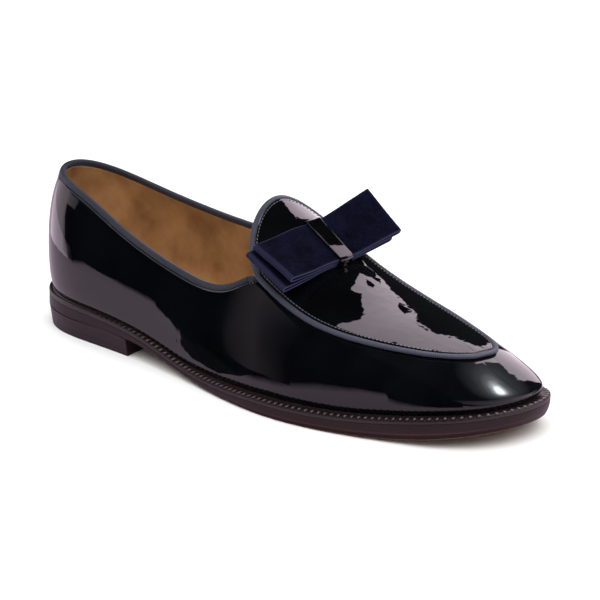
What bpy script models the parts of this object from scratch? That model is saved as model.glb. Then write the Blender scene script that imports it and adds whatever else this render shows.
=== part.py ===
"""Patent leather loafer for the right foot: sole, heel, welt, insole, hollow upper, apron, bindings and bow.

Sizes are in millimetres from the back of the last's heel: x runs to the toe, y to the inner (medial) side of
the foot and z up from the floor. Solids become metres, centred over the floor, when they are made.
"""
import math

import bmesh
import bpy
import numpy as np

MM = 0.001
SHOE = "patent_bow_loafer"
CLEARANCE = 0.3


def table(columns, *rows):
    """Rows of a table with named columns."""
    return [dict(zip(columns, row)) for row in rows]


# Outline of the last where the upper meets the welt
OUTLINE = table(
    ("place", "x", "y"),
    ("heel back", 0, 0),
    ("heel lateral", 13, -21),
    ("seat lateral", 46, -29.5),
    ("waist lateral", 112, -37),
    ("ball lateral", 186, -47),
    ("toe lateral", 247, -34),
    ("tip lateral", 280.8, -13),
    ("toe tip", 284.6, 7),
    ("tip medial", 278.8, 22),
    ("toe medial", 250, 35.5),
    ("ball medial", 203, 42),
    ("waist medial", 118, 24),
    ("seat medial", 46, 28),
    ("heel medial", 13, 20.5))

# Heights along the shoe: feather is where upper meets welt, edge the lower rim of the sole's side,
# bottom the underside between the bevels (below 0 means flat on the floor), bevel how far it lies in
PROFILE = table(
    ("x", "feather", "edge", "bottom", "bevel"),
    (0, 17.0, 9.8, 9.5, 0.5),
    (40, 16.2, 9.1, 8.8, 0.5),
    (70, 14.4, 8.9, 8.5, 0.6),
    (90, 11.6, 7.2, 5.4, 4.0),
    (110, 7.9, 4.1, 2.0, 6.0),
    (130, 6.5, 1.8, 0.3, 5.0),
    (150, 6.7, 1.0, -0.3, 3.0),
    (168, 7.4, 0.7, -0.5, 1.4),
    (190, 8.0, 0.7, -0.5, 1.0),
    (225, 9.4, 1.4, 0.6, 1.0),
    (250, 12.0, 2.9, 2.1, 1.0),
    (270, 14.8, 5.6, 4.8, 1.0),
    (296, 18.6, 10.4, 9.6, 1.0))

# Cross sections of the last: ridge height, y of the ridge, roundness of each side, height of the widest
# place over the feather and how far it stands out
SECTIONS = table(
    ("x", "ridge", "spine", "round_lateral", "round_medial", "belly", "out_lateral", "out_medial"),
    (0, 84, 0, 2.8, 2.8, 21, 2.7, 2.7),
    (36, 84, 0, 1.6, 1.9, 19, 3.5, 3.5),
    (85, 86, -3, 1.5, 1.9, 17, 2.5, 5.0),
    (115, 88, -4, 1.6, 1.9, 17, 2.0, 7.0),
    (141, 83, -4, 1.9, 2.0, 17, 2.0, 6.0),
    (165, 69, -4, 2.1, 2.0, 16, 2.0, 5.0),
    (190, 55.6, -3, 2.1, 2.0, 15, 2.0, 4.0),
    (225, 44.6, 0, 2.2, 2.0, 12, 1.5, 2.5),
    (260, 33.6, 4, 2.2, 1.9, 7, 1.5, 2.0),
    (275, 28.2, 5, 2.1, 1.95, 4.2, 1.8, 2.0),
    (290, 24.5, 5.5, 2.05, 2.05, 3.4, 2.0, 2.0))

# The ridge stops short of heel and toe, where the walls fan out around its ends
HEEL_RIDGE_END, HEEL_KNEE = 24.0, 96.0
TOE_RIDGE_END, TOE_KNEE = 248.0, 148.0

# How far the sole stands out past the feather
REACH = table(
    ("x", "lateral", "medial"),
    (0, 2.9, 2.9),
    (60, 2.2, 2.0),
    (110, 3.0, 1.5),
    (160, 5.0, 3.5),
    (200, 5.5, 5.0),
    (250, 5.5, 5.5),
    (290, 5.5, 5.5))

# Height of the topline
COLLAR = table(
    ("x", "lateral", "medial"),
    (0, 74, 74),
    (20, 71.5, 66),
    (50, 62.2, 61),
    (85, 54, 58.5),
    (112, 50, 57),
    (135, 50.5, 54.5),
    (148, 54.4, 56),
    (158, 60.4, 60))

# Edge of the apron, as a part of the way from the ridge to the widest place
APRON = table(
    ("x", "lateral", "medial"),
    (140, 0.69, 0.46),
    (165, 0.71, 0.445),
    (195, 0.72, 0.445),
    (210, 0.71, 0.45),
    (225, 0.68, 0.465),
    (242, 0.605, 0.50),
    (257, 0.485, 0.54),
    (272, 0.335, 0.43),
    (282, 0.26, 0.285),
    (285, 0.25, 0.25))

# Stations: close together at the heel, the throat and the toe
HEEL_RUN, HEEL_STEPS = 60.0, 7
QUARTER_STEPS = 8
THROAT_START, THROAT_END, THROAT_STEPS = 140.0, 168.0, 9
TOE_STEPS, TOE_EASE = 16, 1.7
THROAT_CURVE_START = 156.0
SHOULDER = 0.72

WALL = 1.8
LOW_ROWS, HIGH_ROWS = 7, 4
TUCK_POINTS, RISE_POINTS = 12, 33
OUTLINE_POINTS = 1440
HALVINGS = 40
SMALL_PART = 0.01
JOIN_DISTANCE = 0.01
WELT_THICK, WELT_INSET = 2.6, 2.4
SOLE_STEP = 0.4
BEVEL_SHARE_IN, BEVEL_SHARE_DOWN = 0.35, 0.6
INSOLE_INSET, INSOLE_THICK = 2.8, 3.0

HEEL_BREAST, BREAST_STEP = 72.0, 1.0
HEEL_TAPER = 1.4
HEEL_HOLLOW, HEEL_HOLLOW_POWER = 4.0, 4
HEEL_COLUMNS = 8

TONGUE_END, TONGUE_ROUND, TONGUE_STEPS, TONGUE_EASE = 141.5, 22.0, 8, 1.8
APRON_THICK, APRON_COLUMNS = 1.3, 7
APRON_BEAD_WIDE, APRON_BEAD_HIGH, APRON_BEAD_STEPS = 3.0, 2.2, 84
APRON_BEAD_GAP = 0.4
APRON_EDGE_POINTS = 6

COLLAR_BEAD_WIDE, COLLAR_BEAD_HIGH = 2.8, 2.9
COLLAR_DROP = 3.2
COLLAR_LEAN_PART = 0.02
COLLAR_FRONT = {"lateral": 162.0, "medial": 160.0}
BEAD_SIDES = 8
BEAD_SQUARENESS = 0.75

# Bow: two flat ribbon loops on each side, one tier over the other, held by a band
BOW_CENTRE = (171.3, -4.2, 67.4)
BOW_SLOPE, BOW_TWIST = 31.2, 0.12
RIBBON_THICK, RIBBON_PINCH, RIBBON_GROWTH = 0.9, 1.0, 0.015
RIBBON_HALF, RIBBON_FLARE = 12.1, 0.03

# Height of the bow's line over its middle, along it to the medial side
BOW_LINE = table(
    ("s", "rise"),
    (-38, -3.2),
    (-22, -1.4),
    (-9, 0.3),
    (0, 0.6),
    (9, 1.65),
    (22, 4.35),
    (36, 7.2))
TIERS = table(
    ("name", "level", "lateral_end", "medial_end"),
    ("bow_lower", -1, -38.0, 31.0),
    ("bow_upper", 1, -35.2, 34.8))
RIBBON_STEPS, FOLD_STEPS = 16, 4
BAND_HALF, BAND_THICK, BAND_STEPS = 4.2, 0.9, 4
BAND_CORNER, BAND_FOOT = 1.2, 0.3
BAND_EASE = 0.2

FINISHES = table(
    ("name", "red", "green", "blue", "roughness"),
    ("outsole", 0.030, 0.018, 0.016, 0.45),
    ("heel", 0.020, 0.013, 0.014, 0.45),
    ("welt", 0.022, 0.015, 0.016, 0.50),
    ("insole", 0.420, 0.240, 0.110, 0.55),
    ("upper", 0.008, 0.009, 0.013, 0.08),
    ("apron_tongue", 0.009, 0.010, 0.014, 0.08),
    ("apron_binding", 0.055, 0.065, 0.100, 0.60),
    ("collar_binding", 0.055, 0.065, 0.100, 0.60),
    ("bow_lower", 0.016, 0.022, 0.060, 0.90),
    ("bow_upper", 0.018, 0.025, 0.068, 0.90),
    ("bow_band", 0.008, 0.008, 0.010, 0.10))
SHARP_ANGLE = 40.0


def column(rows, name):
    """One column of a table as an array."""
    return np.array([row[name] for row in rows], float)


def spline(rows, name, over="x"):
    """The natural cubic curve through a table's column over its x or another column."""
    xs, ys = column(rows, over), column(rows, name)
    count = len(xs)
    gap = np.diff(xs)
    matrix = np.eye(count)
    right = np.zeros(count)
    for i in range(1, count - 1):
        matrix[i, i - 1:i + 2] = gap[i - 1], 2 * (gap[i - 1] + gap[i]), gap[i]
        right[i] = 6 * ((ys[i + 1] - ys[i]) / gap[i] - (ys[i] - ys[i - 1]) / gap[i - 1])
    bend = np.linalg.solve(matrix, right)

    def value(x):
        x = np.clip(np.asarray(x, float), xs[0], xs[-1])
        i = np.clip(np.searchsorted(xs, x) - 1, 0, count - 2)
        before, after, wide = xs[i + 1] - x, x - xs[i], gap[i]
        curved = (bend[i] * before ** 3 + bend[i + 1] * after ** 3) / (6 * wide)
        start = (ys[i] / wide - bend[i] * wide / 6) * before
        end = (ys[i + 1] / wide - bend[i + 1] * wide / 6) * after
        return curved + start + end

    return value


def closed_curve(points, count):
    """Points along the smooth closed curve through the given ones, about count of them."""
    total = len(points)
    step = np.linalg.norm(np.roll(points, -1, 0) - points, axis=1)
    matrix = np.zeros((total, total))
    right = np.zeros((total, 2))
    for i in range(total):
        after = (i + 1) % total
        matrix[i, i - 1] += step[i - 1]
        matrix[i, i] += 2 * (step[i - 1] + step[i])
        matrix[i, after] += step[i]
        right[i] = 6 * ((points[after] - points[i]) / step[i] - (points[i] - points[i - 1]) / step[i - 1])
    bend = np.linalg.solve(matrix, right)
    runs = []
    for i in range(total):
        after = (i + 1) % total
        wide = step[i]
        pieces = max(2, int(round(count * wide / step.sum())))
        t = (np.arange(pieces) / pieces)[:, None] * wide
        curved = (bend[i] * (wide - t) ** 3 + bend[after] * t ** 3) / (6 * wide)
        start = (points[i] / wide - bend[i] * wide / 6) * (wide - t)
        end = (points[after] / wide - bend[after] * wide / 6) * t
        runs.append(curved + start + end)
    return np.concatenate(runs)


def eased(part, slope):
    """A part of the way that starts with the given slope and slows toward 1."""
    return slope * part - (slope - 1) * part ** 3


def unit(vectors):
    """Vectors of length one."""
    return vectors / np.linalg.norm(vectors, axis=-1, keepdims=True)


SIDES = ("lateral", "medial")


class Last:
    """The shape the shoe is made over, as functions of the place along its length and the side."""

    def __init__(self):
        corners = np.stack([column(OUTLINE, "x"), column(OUTLINE, "y")], 1)
        curve = closed_curve(corners, OUTLINE_POINTS)
        along = np.roll(curve, -1, 0) - np.roll(curve, 1, 0)
        outward = unit(np.stack([along[:, 1], -along[:, 0]], 1))
        back = curve[:, 0].argmin()
        curve, outward = np.roll(curve, -back, 0), np.roll(outward, -back, 0)
        tip = curve[:, 0].argmax()
        self.back, self.tip = curve[0, 0], curve[tip, 0]
        medial = list(range(len(curve) - 1, tip - 1, -1))
        self.halves = {
            "lateral": (curve[:tip + 1], outward[:tip + 1]),
            "medial": (curve[[0] + medial], outward[[0] + medial])}
        self.ridge = spline(SECTIONS, "ridge")
        self.spine = spline(SECTIONS, "spine")
        self.belly = spline(SECTIONS, "belly")
        self.round = {side: spline(SECTIONS, "round_" + side) for side in SIDES}
        self.out = {side: spline(SECTIONS, "out_" + side) for side in SIDES}
        self.reach = {side: spline(REACH, side) for side in SIDES}
        self.collar = {side: spline(COLLAR, side) for side in SIDES}
        self.apron = {side: spline(APRON, side) for side in SIDES}
        self.feather = spline(PROFILE, "feather")
        self.edge = spline(PROFILE, "edge")
        self.bevel = spline(PROFILE, "bevel")
        self.underside = spline(PROFILE, "bottom")

    def bottom(self, x):
        """Height of the underside: flat on the floor under the ball."""
        return np.maximum(self.underside(x), 0.0)

    def sole_top(self, x):
        """Height of the outsole's upper face, under the welt."""
        return self.feather(x) - WELT_THICK - CLEARANCE

    def foot(self, x, side):
        """Outline point and outward direction at a place along one side."""
        points, outward = self.halves[side]
        order = np.maximum.accumulate(points[:, 0])
        y = np.interp(x, order, points[:, 1])
        direction = np.array([np.interp(x, order, outward[:, 0]), np.interp(x, order, outward[:, 1])])
        return np.array([x, y]), unit(direction)

    def ridge_place(self, x):
        """Where on the ridge the wall over outline place x ends."""
        if x < HEEL_KNEE:
            span, run = HEEL_KNEE - self.back, HEEL_KNEE - HEEL_RIDGE_END
            place = HEEL_KNEE - run * eased((HEEL_KNEE - x) / span, span / run)
        elif x > TOE_KNEE:
            span, run = self.tip - TOE_KNEE, TOE_RIDGE_END - TOE_KNEE
            place = TOE_KNEE + run * eased((x - TOE_KNEE) / span, span / run)
        else:
            place = x
        return np.array([place, float(self.spine(place))])

    def skin(self, x, side, part):
        """Point on the outer surface: part is 1 at the widest place and 0 on the ridge."""
        foot, outward = self.foot(x, side)
        top = self.ridge_place(x)
        wide = foot + outward * self.out[side](x)
        plan = top + part * (wide - top)
        power = float(self.round[side](x))
        rise = max(0.0, 1.0 - part ** power) ** (1.0 / power)
        low = float(self.feather(x) + self.belly(x))
        return np.array([plan[0], plan[1], low + (float(self.ridge(plan[0])) - low) * rise])

    def skin_normal(self, x, side, part):
        """Outward direction of the surface at such a point."""
        step = SMALL_PART
        here, there = max(x - step, self.back), min(x + step, self.tip)
        along = self.skin(there, side, part) - self.skin(here, side, part)
        across = self.skin(x, side, part + step) - self.skin(x, side, max(part - step, 0.0))
        direction = unit(np.cross(along, across))
        return direction if direction[2] > 0 else -direction

    def rim_part(self, x, side):
        """Where the wall ends: under the collar's binding, around the throat's curve, or at the ridge."""
        if x >= THROAT_END:
            return 0.0
        if x > THROAT_CURVE_START:
            forward = (x - THROAT_CURVE_START) / (THROAT_END - THROAT_CURVE_START)
            return self.rim_part(THROAT_CURVE_START, side) * math.sqrt(1 - forward ** 2)
        height = float(self.collar[side](x)) - COLLAR_DROP
        low, high = 0.0, 1.0
        for _ in range(HALVINGS):
            middle = (low + high) / 2
            if self.skin(x, side, middle)[2] > height:
                low = middle
            else:
                high = middle
        return high

    def shoulder_part(self, x, side):
        """Where the wall's lower rows end: at the rim beside the opening, at the shoulder in front of it."""
        if x <= THROAT_CURVE_START:
            return self.rim_part(x, side)
        forward = min(1.0, (x - THROAT_CURVE_START) / (THROAT_END - THROAT_CURVE_START))
        return (1 - forward) * self.rim_part(THROAT_CURVE_START, side) + forward * SHOULDER

    def rise_of(self, x, side, start, end):
        """Points on the wall between two parts of the way to the ridge."""
        power = float(self.round[side](x))
        turns = np.arccos(np.array([start, end]) ** (power / 2))
        parts = np.cos(np.linspace(turns[0], turns[1], RISE_POINTS)) ** (2 / power)
        return np.array([self.skin(x, side, part) for part in parts])

    def wall(self, x, side):
        """Points up the wall from the feather to the shoulder, then on to the rim or the ridge."""
        foot, outward = self.foot(x, side)
        out = float(self.out[side](x))
        start = float(self.feather(x)) + CLEARANCE
        tall = float(self.belly(x)) - CLEARANCE
        turn = np.linspace(0, math.pi / 2, TUCK_POINTS, endpoint=False)
        plan = foot + outward * (out * np.sin(turn))[:, None]
        lower = np.column_stack([plan, start + tall * (1 - np.cos(turn))])
        shoulder, rim = self.shoulder_part(x, side), self.rim_part(x, side)
        lower = np.concatenate([lower, self.rise_of(x, side, 1.0, shoulder)])
        upper = self.rise_of(x, side, shoulder, rim)
        return np.concatenate([resample(lower, LOW_ROWS + 1), resample(upper, HIGH_ROWS + 1)[1:]])

    def apron_part(self, x, side):
        """Part of the way out to the apron's edge, rounded off at the tongue's end."""
        part = min(1.0, (x - TONGUE_END) / TONGUE_ROUND)
        return float(self.apron[side](x)) * math.sqrt(1 - (1 - part) ** 2)

    def toe_stations(self):
        """Places from the throat to the tip, closer together toward the tip."""
        left = 1 - np.arange(TOE_STEPS + 1) / TOE_STEPS
        return self.tip - (self.tip - THROAT_END) * left ** TOE_EASE

    def stations(self):
        """Places from heel back to toe tip."""
        heel = self.back + (HEEL_RUN - self.back) * (np.arange(HEEL_STEPS) / HEEL_STEPS) ** 2
        quarter = np.linspace(HEEL_RUN, THROAT_START, QUARTER_STEPS, endpoint=False)
        throat = np.linspace(THROAT_START, THROAT_END, THROAT_STEPS, endpoint=False)
        return np.concatenate([heel, quarter, throat, self.toe_stations()])

    def around(self):
        """Places and sides once around: lateral from heel to toe, then medial back."""
        places = list(self.stations())
        return [(x, "lateral") for x in places] + [(x, "medial") for x in places[-2:0:-1]]


LAST = Last()


def resample(path, count):
    """The same path as count points evenly spaced along it."""
    steps = np.linalg.norm(np.diff(path, axis=0), axis=1)
    length = np.concatenate([[0.0], np.cumsum(steps)])
    even = np.linspace(0, length[-1], count)
    return np.stack([np.interp(even, length, values) for values in path.T], 1)


def ring(height, offset):
    """A loop around the outline, moved out by offset(x, side), at height(x)."""
    points = []
    for x, side in LAST.around():
        foot, outward = LAST.foot(x, side)
        plan = foot + outward * float(offset(x, side))
        points.append((plan[0], plan[1], float(height(plan[0]))))
    return np.array(points)


def sole_reach(x, side):
    """How far the welt's edge stands out."""
    return LAST.reach[side](x)


def shoe_centre():
    """Plan centre of the whole shoe, which is widest and longest at the welt."""
    edge = ring(LAST.feather, sole_reach)
    return (edge[:, :2].min(0) + edge[:, :2].max(0)) / 2


CENTRE = shoe_centre()


def add_object(name, mesh, collection):
    """Links a mesh as the named part, with its own material."""
    finish = next(row for row in FINISHES if row["name"] == name)
    material = bpy.data.materials.new(name)
    material.use_nodes = True
    surface = material.node_tree.nodes["Principled BSDF"]
    surface.inputs["Base Color"].default_value = (finish["red"], finish["green"], finish["blue"], 1.0)
    surface.inputs["Roughness"].default_value = finish["roughness"]
    surface.inputs["Metallic"].default_value = 0.0
    mesh.materials.append(material)
    mesh.shade_smooth()
    mesh.set_sharp_from_angle(angle=math.radians(SHARP_ANGLE))
    part = bpy.data.objects.new(name, mesh)
    collection.objects.link(part)
    return part


def make_mesh(name, points, faces, lift=0.0):
    """A mesh in metres from points in millimetres, with doubles joined, lifted off its surface if asked."""
    shifted = (np.asarray(points, float) - np.array([CENTRE[0], CENTRE[1], 0.0])) * MM
    work = bmesh.new()
    corners = [work.verts.new(tuple(point)) for point in shifted]
    for face in faces:
        work.faces.new([corners[i] for i in face])
    bmesh.ops.remove_doubles(work, verts=work.verts, dist=JOIN_DISTANCE * MM)
    work.normal_update()
    if lift:
        moves = [(corner, corner.normal * lift * MM) for corner in work.verts]
        for corner, move in moves:
            corner.co += move
    mesh = bpy.data.meshes.new(name)
    work.to_mesh(mesh)
    work.free()
    return mesh


def thicken(part, thick, outward, even):
    """Gives an open surface its thickness, to the outside or the inside, evened at its edges if asked."""
    shell = part.modifiers.new("thickness", "SOLIDIFY")
    shell.thickness = thick * MM
    shell.offset = 1.0 if outward else -1.0
    shell.use_even_offset = even


def band_faces(first, second, count):
    """Faces between two loops of count points that start at the given numbers."""
    faces = []
    for i in range(count):
        j = (i + 1) % count
        faces.append((first + i, first + j, second + j, second + i))
    return faces


def cap_faces(first, count, upward):
    """Faces across a loop from its lateral to its medial half."""
    faces = []
    half = count // 2
    for i in range(half):
        loop = [first + i, first + i + 1, first + (count - i - 1) % count, first + (count - i) % count]
        face = list(dict.fromkeys(loop))
        faces.append(face if upward else face[::-1])
    return faces


def plate(name, rings, collection):
    """A solid from loops stacked from its underside to its top."""
    count = len(rings[0])
    faces = cap_faces(0, count, False)
    for level in range(len(rings) - 1):
        faces += band_faces(level * count, (level + 1) * count, count)
    faces += cap_faces((len(rings) - 1) * count, count, True)
    return add_object(name, make_mesh(name, np.concatenate(rings), faces), collection)


def build_outsole(collection):
    """Outsole: flat under the ball, bevelled and arched at the waist, with a small step under the welt."""
    def edge_reach(x, side):
        return sole_reach(x, side) - SOLE_STEP

    def bottom_reach(x, side):
        return edge_reach(x, side) - LAST.bevel(x)

    def middle_reach(x, side):
        return edge_reach(x, side) - BEVEL_SHARE_IN * LAST.bevel(x)

    def middle_height(x):
        return LAST.edge(x) + BEVEL_SHARE_DOWN * (LAST.bottom(x) - LAST.edge(x))

    return plate("outsole", [
        ring(LAST.bottom, bottom_reach),
        ring(middle_height, middle_reach),
        ring(LAST.edge, edge_reach),
        ring(LAST.sole_top, edge_reach)], collection)


def build_welt(collection):
    """Welt: a strip around the feather, under the upper's lower edge."""
    def inner(x, side):
        return -WELT_INSET

    def low(x):
        return LAST.feather(x) - WELT_THICK

    outside = [ring(low, sole_reach), ring(LAST.feather, sole_reach)]
    loops = outside + [ring(LAST.feather, inner), ring(low, inner)]
    count = len(loops[0])
    faces = []
    for level in range(len(loops)):
        faces += band_faces(level * count, (level + 1) % len(loops) * count, count)
    return add_object("welt", make_mesh("welt", np.concatenate(loops), faces), collection)


def build_insole(collection):
    """Insole: a board inside the upper, on the outsole."""
    def inner(x, side):
        return -INSOLE_INSET

    def low(x):
        return LAST.sole_top(x) + CLEARANCE

    def high(x):
        return low(x) + INSOLE_THICK

    return plate("insole", [ring(low, inner), ring(high, inner)], collection)


def build_heel(collection):
    """Heel block: tapered to its flat underside, with a hollowed breast."""
    places = [x for x in LAST.stations() if x < HEEL_BREAST - BREAST_STEP] + [HEEL_BREAST]
    levels = []
    for taper, on_floor in ((HEEL_TAPER, True), (0.0, False)):
        grid = []
        for x in places:
            ends = []
            for side in SIDES:
                foot, outward = LAST.foot(x, side)
                ends.append(foot + outward * (sole_reach(x, side) - SOLE_STEP - taper))
            across = np.linspace(0, 1, HEEL_COLUMNS + 1)[:, None]
            row = ends[0] + across * (ends[1] - ends[0])
            hollow = HEEL_HOLLOW * (x / HEEL_BREAST) ** HEEL_HOLLOW_POWER
            row[:, 0] -= hollow * (1 - (2 * across[:, 0] - 1) ** 2)
            height = 0 * row[:, 0] if on_floor else LAST.bottom(row[:, 0]) - CLEARANCE
            grid.append(np.column_stack([row, height]))
        levels.append(np.array(grid))
    rows, columns = len(places), HEEL_COLUMNS + 1
    points = np.concatenate([level.reshape(-1, 3) for level in levels])
    above = rows * columns
    faces = []
    for i in range(rows - 1):
        for j in range(HEEL_COLUMNS):
            a, b = i * columns + j, (i + 1) * columns + j
            faces.append((a, a + 1, b + 1, b))
            faces.append((above + a, above + b, above + b + 1, above + a + 1))
        low, high = i * columns, (i + 1) * columns
        faces.append((low, high, above + high, above + low))
        low, high = low + HEEL_COLUMNS, high + HEEL_COLUMNS
        faces.append((high, low, above + low, above + high))
    breast = (rows - 1) * columns
    for j in range(HEEL_COLUMNS):
        a = breast + j
        faces.append((a, a + 1, above + a + 1, above + a))
    return add_object("heel", make_mesh("heel", points, faces), collection)


def build_upper(collection):
    """Upper: the hollow wall of vamp and quarters, open at the collar and underneath."""
    stations = LAST.around()
    rows = LOW_ROWS + HIGH_ROWS + 1
    grid = np.array([LAST.wall(x, side) for x, side in stations])
    count = len(stations)
    faces = []
    for i in range(count):
        j = (i + 1) % count
        for row in range(rows - 1):
            faces.append((i * rows + row, j * rows + row, j * rows + row + 1, i * rows + row + 1))
    part = add_object("upper", make_mesh("upper", grid.reshape(-1, 3), faces), collection)
    thicken(part, WALL, False, False)
    return part


def apron_stations():
    """Places from the tongue's end to the toe tip."""
    tongue = TONGUE_END + (THROAT_END - TONGUE_END) * (np.arange(TONGUE_STEPS) / TONGUE_STEPS) ** TONGUE_EASE
    return np.concatenate([tongue, LAST.toe_stations()])


def build_apron(collection):
    """Apron and tongue: one piece laid over the vamp and on past its throat."""
    places = apron_stations()
    shares = np.linspace(1, 0, APRON_COLUMNS + 1)
    points = []
    for x in places:
        edge = {side: LAST.apron_part(x, side) for side in SIDES}
        points += [LAST.skin(x, "lateral", share * edge["lateral"]) for share in shares]
        points += [LAST.skin(x, "medial", share * edge["medial"]) for share in shares[-2::-1]]
    columns = 2 * APRON_COLUMNS + 1
    faces = []
    for i in range(len(places) - 1):
        for j in range(columns - 1):
            a, b = i * columns + j, (i + 1) * columns + j
            faces.append((a, b, b + 1, a + 1))
    part = add_object("apron_tongue", make_mesh("apron_tongue", points, faces, CLEARANCE), collection)
    thicken(part, APRON_THICK, True, True)
    return part


def bead(name, centres, outwards, ups, size, closed, collection):
    """A rounded strip of a width and height swept along centres, lying in the outward and up directions."""
    wide, high = size
    turn = np.arange(BEAD_SIDES) * 2 * math.pi / BEAD_SIDES + math.pi / BEAD_SIDES
    across = np.sign(np.cos(turn)) * abs(np.cos(turn)) ** BEAD_SQUARENESS * wide / 2
    rise = np.sign(np.sin(turn)) * abs(np.sin(turn)) ** BEAD_SQUARENESS * high / 2
    points = []
    for centre, outward, up in zip(centres, outwards, ups):
        points += [centre + outward * a + up * b for a, b in zip(across, rise)]
    count = len(centres)
    faces = []
    for i in range(count if closed else count - 1):
        j = (i + 1) % count
        for k in range(BEAD_SIDES):
            m = (k + 1) % BEAD_SIDES
            faces.append((i * BEAD_SIDES + k, j * BEAD_SIDES + k, j * BEAD_SIDES + m, i * BEAD_SIDES + m))
    if not closed:
        last = (count - 1) * BEAD_SIDES
        faces.append(tuple(range(BEAD_SIDES)))
        faces.append(tuple(last + k for k in range(BEAD_SIDES - 1, -1, -1)))
    return add_object(name, make_mesh(name, points, faces), collection)


def build_apron_binding(collection):
    """Binding around the edge of apron and tongue: a closed bead on the vamp."""
    places = apron_stations()
    runs = [np.linspace(a, b, APRON_EDGE_POINTS, endpoint=False) for a, b in zip(places[:-1], places[1:])]
    fine = np.append(np.concatenate(runs), LAST.tip)
    around = [(x, "lateral") for x in fine] + [(x, "medial") for x in fine[-2:0:-1]]
    loop, normals = [], []
    for x, side in around:
        part = LAST.apron_part(x, side)
        loop.append(LAST.skin(x, side, part))
        normals.append(LAST.skin_normal(x, side, part))
    path = np.column_stack([np.array(loop), np.array(normals)])
    path = np.concatenate([path, path[:1]])
    steps = np.linalg.norm(np.diff(path[:, :3], axis=0), axis=1)
    length = np.concatenate([[0.0], np.cumsum(steps)])
    even = np.linspace(0, length[-1], APRON_BEAD_STEPS, endpoint=False)
    path = np.stack([np.interp(even, length, values) for values in path.T], 1)
    edge, ups = path[:, :3], unit(path[:, 3:])
    along = unit(np.roll(edge, -1, 0) - np.roll(edge, 1, 0))
    outwards = unit(np.cross(along, ups))
    ups = unit(np.cross(outwards, along))
    beside = APRON_BEAD_WIDE / 2 + APRON_BEAD_GAP
    centres = edge + outwards * beside + ups * (APRON_BEAD_HIGH / 2 + CLEARANCE)
    size = (APRON_BEAD_WIDE, APRON_BEAD_HIGH)
    return bead("apron_binding", centres, outwards, ups, size, True, collection)


def build_collar_binding(collection):
    """Binding along the topline, on the end of the wall, from throat to throat around the heel."""
    stops = list(LAST.stations())
    lateral = [(x, "lateral") for x in stops if x <= COLLAR_FRONT["lateral"]]
    medial = [(x, "medial") for x in stops if x <= COLLAR_FRONT["medial"]]
    path = medial[:0:-1] + lateral
    tops, ups = [], []
    for x, side in path:
        rim = LAST.rim_part(x, side)
        tops.append(LAST.skin(x, side, rim))
        ups.append(tops[-1] - LAST.skin(x, side, rim + COLLAR_LEAN_PART))
    tops, ups = np.array(tops), unit(np.array(ups))
    along = unit(np.gradient(tops, axis=0))
    outwards = unit(np.cross(along, ups))
    ups = unit(np.cross(outwards, along))
    centres = tops - outwards * WALL / 2 + ups * (COLLAR_BEAD_HIGH / 2 + CLEARANCE)
    size = (COLLAR_BEAD_WIDE, COLLAR_BEAD_HIGH)
    return bead("collar_binding", centres, outwards, ups, size, False, collection)


BOW_RISE = spline(BOW_LINE, "rise", "s")


def bow_point(s, v, w):
    """Place on the bow: s along it to the medial side, v down the vamp, w off the vamp."""
    slope = math.radians(BOW_SLOPE + BOW_TWIST * s)
    x, y, z = BOW_CENTRE
    return np.array([x + v * math.cos(slope) + w * math.sin(slope), y + s,
                     z + float(BOW_RISE(s)) - v * math.sin(slope) + w * math.cos(slope)])


def loop_half(s):
    """Half the height of a ribbon loop: pinched at the middle, open toward its ends."""
    return RIBBON_PINCH + RIBBON_GROWTH * abs(s)


def loop_path(tier, inset):
    """One tier's closed ribbon path as (s, w), inset by a thickness."""
    middle = 2 * RIBBON_PINCH + CLEARANCE / 2
    runs = np.linspace(tier["lateral_end"], tier["medial_end"], RIBBON_STEPS)

    def level(s):
        return middle + tier["level"] * (loop_half(s) + CLEARANCE / 2)

    top = [(s, level(s) + loop_half(s) - inset) for s in runs]
    under = [(s, level(s) - loop_half(s) + inset) for s in runs[::-1]]
    folds = []
    for s, start in ((runs[-1], 90), (runs[0], 270)):
        radius = loop_half(s) - inset
        angles = [math.radians(start - 180 * (k + 1) / (FOLD_STEPS + 1)) for k in range(FOLD_STEPS)]
        folds.append([(s + radius * math.cos(a), level(s) + radius * math.sin(a)) for a in angles])
    return top + folds[0] + under + folds[1]


def build_tier(tier, collection):
    """One tier of the bow: a flat closed loop of ribbon, pinched at the middle."""
    paths = (loop_path(tier, 0.0), loop_path(tier, RIBBON_THICK))
    count = len(paths[0])
    points = []
    for path in paths:
        for edge in (-1, 1):
            points += [bow_point(s, edge * (RIBBON_HALF + RIBBON_FLARE * abs(s)), w) for s, w in path]
    outer_back, outer_front, inner_back, inner_front = (k * count for k in range(4))
    faces = band_faces(outer_back, outer_front, count)
    faces += band_faces(outer_front, inner_front, count)
    faces += band_faces(inner_front, inner_back, count)
    faces += band_faces(inner_back, outer_back, count)
    faces = [face[::-1] for face in faces]
    return add_object(tier["name"], make_mesh(tier["name"], points, faces), collection)


def band_section(inset):
    """The band's path over both tiers as (v, w), from the vamp behind to the vamp in front."""
    half = RIBBON_HALF + BAND_EASE + CLEARANCE + BAND_THICK - inset
    top = 4 * RIBBON_PINCH + 2 * CLEARANCE + BAND_THICK - inset
    corner = BAND_CORNER - inset
    turn = [math.radians(90 * k / BAND_STEPS) for k in range(BAND_STEPS + 1)]
    back = [(-half + corner * (1 - math.sin(a)), top - corner * (1 - math.cos(a))) for a in turn[::-1]]
    front = [(half - corner * (1 - math.sin(a)), top - corner * (1 - math.cos(a))) for a in turn]
    return [(-half, BAND_FOOT)] + back + front + [(half, BAND_FOOT)]


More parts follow.
